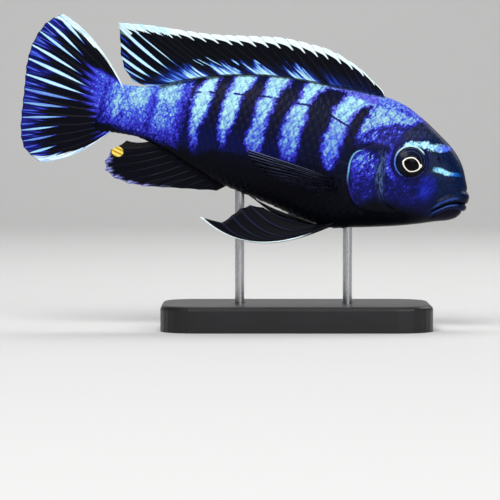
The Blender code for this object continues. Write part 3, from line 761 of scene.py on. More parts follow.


# Rims: pale above and behind the eye, pale cyan fading to violet down the gill cover, and painted shade in
# the crease on both sides of the dorsal fin
def rimMarks(paint, colour):
    behind, side, height = paint.behind, paint.side, paint.height
    strokes, speckle = paint.strokes, paint.speckle
    rim = paint.ease(abs(paint.spot("orbit") - 3.04 + speckle * 0.15), 0.20, 0.07)
    fromEye = (behind - eye["behind"]) * 0.84 + (height - eye["height"]) * 0.55 + strokes * 0.8
    rim = rim * paint.ease(fromEye, -1.0, -0.1) * (paint.ease(height, 1.0, 5.0) * 0.5 + 0.5)
    colour = paint.mix(rim, colour, paint.shade(height, 3.4, 6.2, shown(92, 134, 228), tint["ice"]))
    edge = paint.upright("coverRim") - behind
    rim = paint.ease(abs(edge - 0.12 + strokes * 0.3), 0.26, 0.06) * paint.ease(height, -7.4, -5.0)
    rim = rim * paint.ease(height, 4.0, 3.6) * (0.72 + strokes * 1.4)
    colour = paint.mix(rim, colour, paint.shade(height, -3.6, -0.4, shown(40, 36, 150), shown(120, 186, 228)))
    past = paint.higher(behind - pose["swayStart"], 0.0) / pose["swayLength"]
    offMiddle = abs(side - past * past * pose["swayReach"])
    # Painted shade: the skin turns black in the crease along both sides of the dorsal fin's base
    creaseShade = paint.ease(offMiddle + speckle * 0.4, 1.45, 0.95)
    creaseShade = creaseShade * paint.ease(behind, 19.6, 20.4) * paint.ease(behind, 63.2, 62.2)
    return paint.mix(creaseShade * paint.ease(height, 4.0, 5.0) * 0.85, colour, tint["black"])


# Lips with a painted sheen, the mouth line painted black as shade where the lips meet, and the black chin
def mouthMarks(paint, colour):
    behind, height = paint.behind, paint.height
    speckle = paint.speckle
    fromLip = height - (behind * mouth["rise"] + mouth["front"] - behind * behind * mouth["bend"])
    inMouth = paint.ease(behind, mouth["length"] + 0.7, mouth["length"] - 0.4)
    lips = paint.ease(fromLip, -1.2, -0.6) * paint.ease(fromLip, 2.2, 1.3) * inMouth
    dark = paint.shade(speckle, -0.1, 0.25, shown(2, 10, 28), shown(10, 30, 68))
    colour = paint.mix(lips * 0.9, colour, dark)
    chin = paint.ease(fromLip + speckle * 0.8, -0.9, -1.8) * paint.ease(behind, 8.5, 4.5)
    colour = paint.mix(chin * 0.8, colour, tint["black"])
    # Painted highlights along the upper and the lower lip
    paintedSheen = paint.ease(abs(fromLip - 0.85 + speckle * 0.6), 0.42, 0.12)
    paintedSheen = paint.higher(paintedSheen, paint.ease(abs(fromLip + 0.45 + speckle * 0.4), 0.26, 0.08))
    colour = paint.mix(paintedSheen * inMouth * paint.ease(behind, 1.2, 2.6) * 0.75, colour, shown(48, 74, 148))
    # The mouth line painted black: painted shade in the crease where the lips meet
    return paint.mix(paint.ease(abs(fromLip), 0.24, 0.08) * inMouth, colour, tint["black"])


# The whole pattern of the skin, shared by the skin and its scales; its second argument darkens it with
# painted shade where one scale lies on the next
def skinPattern(paint, fall=0.0):
    behind, height = paint.behind, paint.height
    strokes, speckle, slow = paint.strokes, paint.speckle, paint.slow
    glow, onRoot = flankGlow(paint)
    head, onNape, crest, coverLow = headGlow(paint)
    glow = paint.lower(glow, 0.5 + crest * 0.5)
    onHead = paint.ease(paint.upright("split") - behind, -0.12, 0.12)
    glow = ground = raised(glow, onHead, head)
    ridge = paint.ease(height - paint.level("ridge") + speckle * 1.4, -1.1, -0.2)
    glow = paint.higher(glow, ridge * paint.ease(behind, 33.0, 30.5) * paint.ease(behind, 18.0, 21.0) * 0.60)
    clumps = paint.noise(paint.place, 0.85, 2.0, 0.5) - 0.5
    net = paint.ease(paint.cells(paint.leaned, 0.92, "DISTANCE_TO_EDGE"), 0.13, 0.0)
    mottle = strokes * (0.75 - onRoot * 0.20) + speckle * 0.38 + clumps * 0.35 - net * onHead * 0.22 - fall
    glow = glow + mottle * paint.ease(glow, 0.02, 0.50)
    colour = paint.ramp(glow, glowRamp)
    # The nape is paler and greener than the bars, whose edges turn lilac towards the back
    pearl = onNape * paint.ease(behind, 10.0, 12.6) * onHead * paint.ease(glow, 0.40, 0.75)
    colour = paint.mix(pearl * 0.22, colour, shown(158, 196, 158))
    lilac = paint.ease(glow, 0.28, 0.42) * paint.ease(glow, 0.70, 0.56) * paint.ease(height, 3.0, 9.0)
    colour = paint.mix(lilac * (1.0 - onHead) * (1.0 - onRoot) * 0.22, colour, shown(146, 140, 208))
    # The belly and throat are black
    dark = paint.ease(ground, 0.12, 0.0) * paint.ease(height, 1.0, -4.0)
    colour = paint.mix(dark * 0.8, colour, tint["black"])
    low = paint.ease(height + slow * 1.2 + paint.ease(behind, 16.0, 2.0) * 1.3, -3.0, -6.0)
    colour = paint.mix(low * (1.0 - coverLow * onHead * 0.6), colour, tint["black"])
    for marks in (cheekMarks, snoutMarks, rimMarks, mouthMarks):
        colour = marks(paint, colour)
    return colour, glow


def skinFinish():
    paint = SkinPaint("wetSkin")
    colour, glow = skinPattern(paint)
    pores = paint.ease(paint.cells(paint.place, 1.25), 0.16, 0.05)
    grain = paint.noise(paint.place, 3.2, 4.0, 0.6)
    relief = grain * 0.35 + paint.strokes * 0.6 - pores * 0.9
    return paint.set(
        baseColor=colour,
        roughness=paint.ease(glow, 0.1, 0.8) * 0.10 + 0.34,
        specularLevel=0.07,
        normal=paint.bump(relief, 0.3, 0.00018),
        coatWeight=0.02,
        coatRoughness=0.12,
    )


# Scales have fine growth rings, and painted shade at each one's rim and foot, where one lies on the next
def scaleFinish():
    paint = SkinPaint("scaleSkin")
    across, down = paint.uv("scaleGrain")
    rings = paint.maths("SINE", (down * down + across * across * 0.6) * 46.0)
    rim = paint.ease(down + across * across * 0.18, 0.70, 0.98)
    foot = paint.ease(down, 0.34, 0.05)
    # The rim and foot darken the pattern and the base colour: painted shade between overlapping scales
    colour, glow = skinPattern(paint, rim * 0.10 + foot * 0.06)
    grain = paint.noise(paint.place, 4.4, 3.0, 0.6)
    return paint.set(
        baseColor=paint.dim(colour, 1.0 - rim * 0.10 - foot * 0.08),
        roughness=paint.ease(glow, 0.1, 0.8) * 0.10 + 0.42,
        specularLevel=0.05,
        normal=paint.bump(rings * 0.22 + grain * 0.6, 0.22, 0.00012),
        coatWeight=0.02,
        coatRoughness=0.12,
    )


# The mouth line's height
def mouthLine(behind):
    return mouth["front"] + mouth["rise"] * behind - mouth["bend"] * behind * behind


# How far the head's surface stands out from its plain form
def headRelief(behind, height):
    relief = 0.0
    if behind < mouth["reliefEnd"]:
        reach = 1 - ease(mouth["length"] - 0.9, mouth["length"] + 0.5, behind)
        away = height - mouthLine(behind)
        share = min(behind / mouth["length"], 1.0)
        atFront, atCorner = mouth["upperLip"] if away >= 0 else mouth["lowerLip"]
        outward = min(abs(away) / (atFront + (atCorner - atFront) * share), 1.6)  # 1 at the lip's outer edge
        if outward < 1.0:
            relief += mouth["bulge"] * math.sin(math.pi * outward) ** 0.55 * reach
        relief -= mouth["grooveDepth"] * bell(outward - 1.0, mouth["grooveWidth"]) * reach
        relief -= mouth["creaseDepth"] * bell(away, mouth["creaseWidth"]) * reach
        corner = math.hypot(behind - mouth["length"] - 0.2, (height - mouthLine(mouth["length"])) * 0.6)
        relief -= mouth["cornerDepth"] * bell(corner, mouth["cornerWidth"])
    pit = math.hypot(behind - nostril["behind"], height - nostril["height"])
    if pit < nostril["reach"]:
        rim = nostril["rimHeight"] * bell(pit - nostril["rimRadius"], nostril["rimWidth"])
        relief += rim - nostril["pitDepth"] * bell(pit, nostril["pitWidth"])
    orbit = math.hypot(behind - eye["behind"], height - eye["height"])
    if orbit < eye["reach"]:
        # A low rim with a shallow groove around it, and a socket inside the opening
        rim = 0.16 * bell(orbit - eye["opening"] - 0.26, 0.24)
        relief += rim - 0.07 * bell(orbit - eye["opening"] - 0.85, 0.3)
        if orbit < eye["opening"] - 0.02:
            relief -= 0.35 + 2.2 * ease(0.0, 0.55, eye["opening"] - orbit)
    return relief


def polylineDistance(behind, height, points):
    nearest = math.inf
    for (b0, h0), (b1, h1) in zip(points, points[1:]):
        run, rise = b1 - b0, h1 - h0
        share = ((behind - b0) * run + (height - h0) * rise) / (run * run + rise * rise)
        share = min(max(share, 0.0), 1.0)
        nearest = min(nearest, math.hypot(behind - b0 - share * run, height - h0 - share * rise))
    return nearest


# Folds of the cheek, with depth and width: the preopercle's edge, the gill cover's lower edge, and the groove
# under the eye
folds = (
    (((18.2, 4.6), (18.3, 1.0), (17.9, -2.0), (16.6, -4.7), (13.6, -6.0)), 0.17, 0.30),
    (((19.6, -7.3), (17.6, -7.6), (14.6, -7.2), (11.6, -6.4)), 0.06, 0.50),
    (((15.6, 0.6), (14.4, -0.6), (12.6, -1.1), (10.6, -0.8)), 0.06, 0.35),
)
foldReach = 2.0


def foldRelief(behind, height):
    relief = 0.0
    for points, depth, width in folds:
        away = polylineDistance(behind, height, points)
        if away < foldReach:
            relief -= depth * bell(away, width)
    return relief


# Rings of the skin from the snout to the tail fin: the stretch it lies on and its share of that, and for the
# gill cover's flap its step behind the edge and how proud it stands
def skinRings():
    count, power = body["headRings"], body["headSpacing"]
    rings = [("head", (i / count) ** power, 0.0, 0.0) for i in range(count)]
    rings += [("flap", 1.0, step, proud) for step, proud in gill["flap"]]
    for stretch, count in (("trunk", body["trunkRings"]), ("wedge", body["wedgeRings"])):
        rings += [(stretch, i / count, 0.0, 0.0) for i in range(1, count + 1)]
    return rings


# How far behind the snout a ring lies at a turn around the body, and how far the gill cover lifts it there
def ringPlace(ring, around):
    stretch, share, step, proud = ring
    edge, cover = gillEdge(around), onCover(around)
    if stretch == "head":
        return share * edge, gill["proud"] * cover * ease(0.72, 1.0, share)
    if stretch == "flap":
        behind = edge + step if step > gill["flapEnd"] else edge + step * cover
        return behind, gill["proud"] * cover * proud
    if stretch == "trunk":
        start = edge + gill["trunkStart"]
        return start + (body["tailBase"] - start) * share, 0.0
    return body["tailBase"] + body["wedge"] * share, 0.0


def makeSkin(material):
    rings = skinRings()
    last = len(rings) + 1
    bm = bmesh.new()
    bmesh.ops.create_grid(bm, x_segments=last, y_segments=body["around"], size=0.5)
    placeLayer = bm.verts.layers.float_vector.new("place")
    liftLayer = bm.verts.layers.float.new("lift")
    for v in bm.verts:
        i = round((v.co.x + 0.5) * last)
        around = (v.co.y + 0.5) * 2 * math.pi
        behind, lift = ringPlace(rings[min(max(i, 1), len(rings)) - 1], around)
        side, height = bodyPoint(behind, around)[1:]
        if i == last:
            # The last ring closes the end of the wedge, inside the tail fin
            side, height = 0.0, section(behind)[3]
            behind -= 0.3
        v[placeLayer] = (behind, side, height)
        v[liftLayer] = lift
        v.co = fishPoint(behind, side, height)
    bmesh.ops.remove_doubles(bm, verts=bm.verts, dist=0.0000003)
    # The opening of the eye is a clean circle: points near it move onto it
    for v in bm.verts:
        behind, side, height = v[placeLayer]
        out = math.hypot(behind - eye["behind"], height - eye["height"])
        for circle in (eye["opening"], eye["opening"] - eye["lip"]):
            if abs(out - circle) < eye["snap"]:
                behind = eye["behind"] + (behind - eye["behind"]) * circle / out
                height = eye["height"] + (height - eye["height"]) * circle / out
                side = math.copysign(halfWidthAt(behind, height), side)
                v[placeLayer] = (behind, side, height)
                v.co = fishPoint(behind, side, height)
                break
    faceOut(bm)
    bm.normal_update()
    moves = []
    for v in bm.verts:
        behind, side, height = v[placeLayer]
        lift = v[liftLayer]
        if behind < body["headEnd"]:
            lift += headRelief(behind, height) + foldRelief(behind, height)
        if behind > body["tailBase"] + body["wedge"] - 0.01:
            lift = 0.0
        moves.append((v, v.normal * lift * mm))
    for v, move in moves:
        v.co += move
    bm.verts.layers.float_vector.remove(placeLayer)
    bm.verts.layers.float.remove(bm.verts.layers.float["lift"])
    finishPiece("skin", bm, material, "skin_trunk", "head", "trunk", "tail_peduncle")


scaleCoat = {
    "length": 1.5,  # between one scale and the next in its row, at mid body
    "row": 1.5,  # between rows
    "rows": 14,  # on each side of the middle one
    "start": 20.2,
    "end": 72.4,
    "size": (0.52, 0.48),  # without any girth, and what full girth adds
    "fullestAt": 30.0,
    "behindCover": 0.55,
    "fromBack": 0.35,  # rows
    "fromBelly": 0.3,  # rows
    "sunk": 0.14,
    "lift": 0.11,
    "dome": 0.05,
    "rimDrop": 0.13,
    "rootReach": 0.62,  # in front of its place, in scale lengths
    "reach": 1.62,  # from end to end, in scale lengths
    "bow": 0.34,  # how far its corners fall short of its middle
    "cut": (7, 7),
}


# Half way round the body from the back to the belly: lengths at even turns, to place rows by true distance
def girth(behind, steps=72):
    lengths = [0.0]
    last = Vector(bodyPoint(behind, 0.0))
    for i in range(1, steps + 1):
        here = Vector(bodyPoint(behind, math.pi * i / steps))
        lengths.append(lengths[-1] + (here - last).length)
        last = here
    return lengths


def turnAt(lengths, distance):
    steps = len(lengths) - 1
    for i in range(steps):
        if lengths[i + 1] >= distance:
            share = (distance - lengths[i]) / max(lengths[i + 1] - lengths[i], 0.0001)
            return math.pi * (i + share) / steps
    return math.pi


# The scales of one side, each as its place behind the snout, its turn around the body, and its points
def layScales():
    behind = scaleCoat["start"]
    columns = []
    full = girth(scaleCoat["fullestAt"])[-1]
    least, gain = scaleCoat["size"]
    while behind < scaleCoat["end"]:
        size = least + gain * girth(min(behind, body["tailBase"]))[-1] / full
        columns.append((behind, size))
        behind += scaleCoat["length"] * size / 2
    laid = []
    rows = scaleCoat["rows"]
    for index, (behind, size) in enumerate(columns):
        lengths = girth(behind)
        middle = lengths[len(lengths) // 2]
        rowGap = scaleCoat["row"] * size
        for row in range(-rows + index % 2, rows + 1, 2):
            distance = middle + row * rowGap
            fromBelly = lengths[-1] - scaleCoat["fromBelly"] * rowGap
            if distance < scaleCoat["fromBack"] * rowGap or distance > fromBelly:
                continue
            around = turnAt(lengths, distance)
            if behind < gillEdge(around) + scaleCoat["behindCover"]:
                continue
            turnPerMm = (turnAt(lengths, distance + 0.3) - turnAt(lengths, distance - 0.3)) / 0.6
            laid.append((behind, around, scalePoints(behind, around, size, rowGap, turnPerMm, len(laid))))
    return laid


def outwardAt(behind, around):
    over = Vector(bodyPoint(behind, around + 0.02)) - Vector(bodyPoint(behind, around - 0.02))
    back = Vector(bodyPoint(behind + 0.2, around)) - Vector(bodyPoint(behind - 0.2, around))
    normal = over.cross(back)
    if normal.length < 1e-9:
        normal = Vector((0.0, 0.0, math.cos(around)))
    at = bodyPoint(behind, around)
    if normal.y * at[1] + normal.z * (at[2] - section(behind)[3]) * 0.3 < 0:
        normal.negate()
    return normal.normalized()


# One scale, as points (w, u, place): w from -1 to 1 around the body, u from its sunk root to its lifted free
# edge. It is shaped like a fan.
def scalePoints(behind, around, size, rowGap, turnPerMm, count):
    nx, ny = scaleCoat["cut"]
    reach = scaleCoat["length"] * size
    jitter = math.sin(count * 12.9898) * 0.5
    points = []
    for j in range(ny + 1):
        w = 2 * j / ny - 1
        bow = scaleCoat["bow"] * w * w
        normal = outwardAt(behind, around + w * rowGap * turnPerMm)
        for i in range(nx + 1):
            u = i / nx
            narrow = 0.72 + 0.28 * math.sin(math.pi * min(u + 0.12, 1.0) * 0.62)
            b = behind - scaleCoat["rootReach"] * reach + u * (scaleCoat["reach"] - bow * 0.9) * reach
            turn = around + w * rowGap * 1.04 * narrow * turnPerMm
            lift = scaleCoat["sunk"] + scaleCoat["lift"] * (1 + 0.25 * jitter)
            lift = lift * u**0.8 - scaleCoat["sunk"]
            lift += scaleCoat["dome"] * (1 - w * w)
            if i == nx or j in (0, ny):
                lift -= scaleCoat["rimDrop"]
            at = Vector(bodyPoint(b, turn)) + normal * lift * min(size * 1.1, 1.0)
            points.append((w, u, at))
    return points


def makeScales(name, hand, laid, material):
    bm = bmesh.new()
    grainMap = bm.loops.layers.uv.new("scaleGrain")
    bakeMap = bm.loops.layers.uv.new("OFBake")
    nx, ny = scaleCoat["cut"]
    for behind, around, points in laid:
        made = bmesh.ops.create_grid(bm, x_segments=nx, y_segments=ny, size=0.5)
        share = around / (2 * math.pi) * 0.92 + 0.02
        patch = (behind / 76.0 * 0.9 + 0.04, share if hand < 0 else 1 - share)
        spots = {}
        for v in made["verts"]:
            w, u, at = points[round((v.co.y + 0.5) * ny) * (nx + 1) + round((v.co.x + 0.5) * nx)]
            spots[v] = (w, u)
            v.co = fishPoint(at.x, at.y if hand < 0 else -at.y, at.z)
        for face in {f for v in made["verts"] for f in v.link_faces}:
            for loop in face.loops:
                w, u = spots[loop.vert]
                loop[grainMap].uv = (w, u)
                loop[bakeMap].uv = (patch[0] + (u - 0.5) * 0.006, patch[1] + w * 0.003)
    if hand > 0:
        bmesh.ops.reverse_faces(bm, faces=bm.faces)
    print(name, len(laid), "scales")
    finishPiece(name, bm, material, "skin_trunk")


# Fins: rays are given by root, middle and tip, and the sheet between them carries their ridges
def rayPoint(ray, share):
    root, middle, tip = ray
    control = 2 * middle - (root + tip) / 2
    return (1 - share) ** 2 * root + 2 * share * (1 - share) * control + share**2 * tip


def straightRay(root, tip, bow=(0.0, 0.0, 0.0)):
    root, tip = Vector(root), Vector(tip)
    return [root, (root + tip) / 2 + Vector(bow), tip]


# A ray's ridge: widths in shares of the gap between two rays. Soft rays split into branches on the outer part
# of their length, one that moves away and a lower one that moves a third as far.
rayRidge = {"width": 0.085, "splitFrom": 0.42, "splitOver": 0.58, "away": 0.30}
lowRidge = {"width": 0.07, "height": 0.6, "away": 0.33}


# How thick a fin is at a share x of the gap behind ray i, and at a share of the way out
def finThickness(look, i, x, share):
    near = min(x, 1 - x)
    soft = look["soft"](i + (1 if x > 0.5 else 0))
    outer = max(0.0, (share - rayRidge["splitFrom"]) / rayRidge["splitOver"]) if soft else 0.0
    split = rayRidge["away"] * outer
    height = bell(near - split * (1 if near > 0 else 0), rayRidge["width"])
    if soft:
        low = bell(near - split * lowRidge["away"], lowRidge["width"])
        height = max(height, lowRidge["height"] * low)
    membrane = look["membrane"] * (1 - 0.3 * share)
    thick = membrane + (look["ray"] * (1 - 0.55 * share) - membrane) * height
    foot = max(0.0, 1 - share / look["footShare"])
    return thick + (look["foot"] - thick) * foot * foot


def makeFin(name, node, slotName, rays, look, material):
    count = len(rays) - 1
    bm = bmesh.new()
    bmesh.ops.create_grid(bm, x_segments=count * look["between"], y_segments=look["rows"], size=0.5)
    placeMap = bm.loops.layers.uv.new("finPlace")
    reachMap = bm.loops.layers.uv.new("finReach")
    weights, places, reaches = {}, {}, {}
    for v in bm.verts:
        column = (v.co.x + 0.5) * count
        i = min(int(column + 1e-6), count - 1)
        x = min(max(column - i, 0.0), 1.0)
        ray = [a.lerp(b, x) for a, b in zip(rays[i], rays[i + 1])]
        share = v.co.y + 0.5
        length = (ray[2] - ray[0]).length
        margin = look["margin"](i, x)
        sink = look["sink"] / length
        at = rayPoint(ray, share * (1 - margin / length + sink) - sink)
        at.y += look["wave"] * math.sin(column * look["waveTurns"] + 1.3 * share) * share * share
        v.co = fishPoint(at.x, at.y, at.z)
        weights[v.index] = min(finThickness(look, i, x, share) / look["thickest"], 1.0)
        places[v] = (column / count, share)
        reaches[v] = ((1 - share) * (length - margin), share * length)
    for face in bm.faces:
        for loop in face.loops:
            loop[placeMap].uv = places[loop.vert]
            loop[reachMap].uv = reaches[loop.vert]
    piece = finishPiece(name, bm, material, slotName, node)
    group = piece.vertex_groups.new(name="thickness")
    for index, weight in weights.items():
        group.add([index], weight, "REPLACE")
    solid = piece.modifiers.new("solidify", "SOLIDIFY")
    solid.thickness = look["thickest"] * mm
    solid.offset = 0.0
    solid.vertex_group = group.name


# How far the margin of a fin falls short of its rays' tips, from none at a ray to this depth between two
def scallop(depth):
    return lambda i, x: depth * math.sin(math.pi * x)


dorsal = {
    "spines": 18,
    "softRays": 9,
    "front": 20.0,
    "spinesEnd": 49.0,
    "softStart": 50.4,
    "rear": 62.4,
    "spineTips": (21.2, 23.3, 25.9, 28.5, 31.2, 34.1, 36.2, 38.8, 41.2, 43.7, 46.0, 48.4, 50.9, 52.9, 55.5,
                  57.9, 60.2, 62.6),
    "margin": (
        (21.2, 16.0), (25.3, 18.6), (29.0, 20.1), (34.0, 21.2), (40.3, 21.2),
        (48.0, 19.9), (55.0, 18.5), (62.0, 17.75), (68.0, 17.2), (73.4, 16.3),
    ),
    "rearEdge": ((73.4, 16.3), (72.4, 13.4), (71.6, 10.6), (70.2, 7.9), (68.0, 6.1)),
    "softTips": (64.6, 67.0, 69.6, 71.9),
    # Flames: how far rearwards one leans at each distance from its root, and where on the back they spring
    "flameLean": ((0.0, 0.0), (0.5, 1.5), (1.2, 2.7), (2.4, 4.0), (4.2, 5.7), (12.0, 11.5)),
    "flames": (
        (19.0, 0.0), (21.0, 0.14), (25.0, 0.18), (27.5, 0.40), (28.6, 0.10), (30.0, 0.16), (31.2, 0.82),
        (34.4, 0.86), (35.8, 0.18), (37.6, 0.14), (39.0, 0.88), (42.0, 0.86), (43.4, 0.16), (44.2, 0.14),
        (45.6, 0.86), (48.2, 0.90), (49.8, 0.16), (50.8, 0.14), (52.2, 0.92), (54.4, 0.88), (55.6, 0.40),
        (56.8, 0.64), (58.4, 0.56), (59.8, 0.16), (61.4, 0.06), (63.0, 0.0),
    ),
    "sheath": (
        (18.0, 0.0), (20.5, 0.50), (23.0, 0.66), (27.0, 0.74), (30.4, 0.82), (32.0, 0.25), (34.0, 0.0),
    ),
    # Pale dashes above them: ray number and share of the way out, lean, half length and half width
    "dashes": (
        ((16.75, 0.34), 1.0, 0.13, 0.13), ((18.13, 0.30), 2.4, 0.10, 0.24), ((19.0, 0.30), 1.8, 0.07, 0.14),
    ),
    # Short bright sparks at the flames' ends, as (behind, height) from one end to the other
    "sparks": (((48.4, 13.8), (51.0, 14.8)), ((44.5, 14.9), (46.8, 15.8)), ((47.8, 12.6), (50.5, 13.3))),
    # Streaks of the soft part: ray numbers to streak numbers, then where each starts, its half width and glow
    "streakPlaces": (
        (20.0, 0.2), (21.1, 1.0), (22.25, 2.0), (23.36, 3.0), (24.25, 4.0), (24.95, 5.0), (25.8, 6.0),
    ),
    "firstStreak": 1,
    "streaks": (
        (0.22, 0.13, 0.98), (0.24, 0.18, 1.0), (0.23, 0.19, 1.0), (0.46, 0.24, 0.98), (0.56, 0.20, 0.78),
        (0.60, 0.12, 0.7),
    ),
    "tipTaper": 0.25,
}

anal = {
    "spines": 3,
    "softRays": 8,
    "front": 45.6,
    "rear": 62.2,
    "margin": (
        (47.2, -10.6), (51.4, -11.4), (55.4, -12.1), (59.5, -12.9), (63.0, -13.4),
        (66.4, -13.2), (68.8, -12.2), (69.6, -10.6), (69.0, -8.0), (66.4, -5.4),
    ),
    "eggSpot": ((67.6, -7.9), (1.16, 1.04)),
}

caudal = {
    "rays": 16,
    "root": (4.6, -4.2),
    "margin": (
        (84.5, 15.4), (87.1, 13.0), (88.7, 8.7), (88.9, 4.6), (88.4, 0.8),
        (87.8, -3.4), (87.0, -8.2), (85.4, -11.7), (81.9, -13.5),
    ),
    "bow": 1.7,
    # Ray numbers at the margin to streak numbers, then where each streak starts, its half width and its glow
    "streakPlaces": (
        (-0.6, 0.0), (0.5, 1.0), (1.75, 2.0), (2.75, 3.0), (4.0, 4.0), (5.25, 5.0), (6.75, 6.0), (8.1, 7.0),
        (9.25, 8.0), (10.38, 9.0), (11.38, 10.0), (12.38, 11.0), (13.75, 12.0), (14.88, 13.0), (16.0, 14.0),
    ),
    "firstStreak": 0,
    "streaks": (
        (0.5, 0.16, 0.95), (0.54, 0.20, 0.96), (0.49, 0.16, 0.96), (0.47, 0.15, 0.86), (0.42, 0.16, 0.98),
        (0.30, 0.19, 0.94), (0.30, 0.17, 0.92), (0.40, 0.16, 0.68), (0.50, 0.15, 0.70), (0.50, 0.12, 0.72),
        (0.58, 0.13, 0.80), (0.60, 0.13, 0.66), (0.62, 0.15, 0.84), (0.60, 0.18, 0.86), (0.6, 0.18, 0.86),
    ),
    "tipTaper": 0.62,
    # White bands along the edges: share of the way out to ray numbers that the band is wide
    "upperBand": (
        (0.0, 0.36), (0.12, 0.36), (0.3, 0.32), (0.42, 0.38), (0.52, 0.62), (0.65, 0.58), (0.8, 0.66),
        (1.0, 0.95),
    ),
    "lowerBand": ((0.0, 0.10), (0.12, 0.16), (0.3, 0.26), (0.5, 0.46), (0.7, 0.58), (0.85, 0.70), (1.0, 0.9)),
    # Skin colour on the fin's foot: its upper edge, and how far back it reaches at heights
    "footTop": ((69.0, 5.0), (71.7, 5.7), (75.5, 6.8), (80.0, 7.6)),
    "footReach": ((-4.0, 71.0), (-2.0, 73.0), (0.5, 75.0), (3.0, 76.0), (4.6, 76.0), (6.0, 76.0)),
}

pectoral = {
    "rays": 13,
    "root": ((25.3, -2.7), (25.9, -5.7)),
    "margin": ((43.4, -1.3), (42.4, -2.9), (38.8, -4.9), (34.0, -5.9), (28.8, -6.6)),
    "splay": math.radians(11),
}

pelvic = {
    "rays": 6,
    "roots": ((23.7, 3.0, 0.0), (26.6, 1.5, 0.0)),
    "spread": {
        "fan": 1.2,
        "middles": ((36.8, 5.4, -18.1), (31.4, 2.5, -12.7)),
        "tips": (
            (49.1, 7.6, -16.0), (44.7, 7.0, -16.1), (43.2, 6.3, -14.3),
            (42.0, 5.5, -12.7), (40.3, 4.6, -11.6), (37.8, 3.6, -11.5),
        ),
    },
    "folded": {
        "fan": 0.6,
        "middles": ((35.0, 5.4, -11.5), (29.9, 2.3, -12.9)),
        "tips": (
            (45.5, 7.3, -7.9), (42.2, 6.7, -9.0), (40.4, 5.9, -9.9),
            (38.3, 5.0, -10.9), (36.0, 4.1, -11.7), (33.6, 3.1, -12.1),
        ),
    },
}


def dorsalRays():
    margin = smooth(dorsal["margin"])
    rays = []
    for i, tip in enumerate(dorsal["spineTips"]):
        share = i / (dorsal["spines"] - 1)
        behind = dorsal["front"] + (dorsal["spinesEnd"] - dorsal["front"]) * share**1.12
        bow = (1.3 * share, 0.0, 0.3 - 0.75 * share)
        rays.append(straightRay((behind, 0.0, section(behind)[0]), (tip, 0.0, margin(tip)), bow))
    edge = [(tip, margin(tip)) for tip in dorsal["softTips"]]
    for i in range(dorsal["softRays"]):
        share = i / (dorsal["softRays"] - 1)
        behind = dorsal["softStart"] + (dorsal["rear"] - dorsal["softStart"]) * share
        if i < len(edge):
            tip = edge[i]
        else:
            tip = along(dorsal["rearEdge"], (i - len(edge)) / (dorsal["softRays"] - 1 - len(edge)))
        bow = (1.3 * (1 - share) ** 2, 0.0, 0.5 - 0.9 * (1 - share) ** 2 - 1.05 * share**2)
        rays.append(straightRay((behind, 0.0, section(behind)[0]), (tip[0], 0.0, tip[1]), bow))
    return rays


def analRays():
    count = anal["spines"] + anal["softRays"]
    rays = []
    for i in range(count):
        share = i / (count - 1)
        behind = anal["front"] + (anal["rear"] - anal["front"]) * share
        tip = along(anal["margin"], share**1.05)
        bow = (0.0, 0.0, -0.3 * share)
        rays.append(straightRay((behind, 0.0, section(behind)[1]), (tip[0], 0.0, tip[1]), bow))
    return rays


def caudalRays():
    top, bottom = caudal["root"]
    rays = []
    for i in range(caudal["rays"]):
        share = i / (caudal["rays"] - 1)
        root = (body["tailBase"], 0.0, top + (bottom - top) * share)
        tip = along(caudal["margin"], share)
        bow = (0.0, 0.0, caudal["bow"] * (1 - 2 * share))
        rays.append(straightRay(root, (tip[0], 0.0, tip[1]), bow))
    return rays


def pectoralRays(hand):
    rays = []
    for i in range(pectoral["rays"]):
        share = i / (pectoral["rays"] - 1)
        behind, height = (a + (b - a) * share for a, b in zip(*pectoral["root"]))
        side = halfWidthAt(behind, height) + 0.2
        tip = along(pectoral["margin"], share)
        tipSide = side + 0.6 + (tip[0] - behind) * math.tan(pectoral["splay"])
        middle = ((behind + tip[0]) / 2, (side + tipSide) / 2 + 0.3, (height + tip[1]) / 2)
        ray = ((behind, side, height), middle, (tip[0], tipSide, tip[1]))
        rays.append([Vector((b, hand * s, h)) for b, s, h in ray])
    return rays


def pelvicRays(hand):
    shape = pelvic["spread"] if hand < 0 else pelvic["folded"]
    roots, middles = ([Vector(end) for end in ends] for ends in (pelvic["roots"], shape["middles"]))
    rays = []
    for i, tip in enumerate(shape["tips"]):
        share = i / (pelvic["rays"] - 1)
        root = roots[0].lerp(roots[1], share)
        root.z = bellyAt(root.x, root.y) - 0.1
        middle = middles[0].lerp(middles[1], share)
        middle.z -= shape["fan"] * math.sin(math.pi * share)
        rays.append([Vector((p.x, hand * p.y, p.z)) for p in (root, middle, Vector(tip))])
    return rays


# Paint for a fin: which ray a point is next to, with whole numbers on the rays, and its share of the way out
class FinPaint(Paint):
    def __init__(self, name, rays):
        super().__init__(name)
        along, self.share = self.uv("finPlace")
        self.number = along * float(rays - 1)
        self.part = self.maths("FRACT", self.number)
        self.near = self.lower(self.part, 1.0 - self.part)

    # Fine threads along the rays, around 0
    def threads(self, across, outward):
        return self.noise(self.vector(self.number * across, outward), 1.0, 3.0, 0.65) - 0.5

    def surface(self, colour, roughness=0.42, specularLevel=0.07, **more):
        joints = self.maths("SINE", self.share * 150.0) * self.ease(self.near, 0.16, 0.05)
        fibres = self.noise(self.vector(self.number * 9.0, self.share * 2.5), 1.0, 2.0)
        return self.set(
            baseColor=colour,
            roughness=roughness,
            specularLevel=specularLevel,
            normal=self.bump(joints * 0.25 + fibres, 0.3, 0.0001),
            **more,
        )


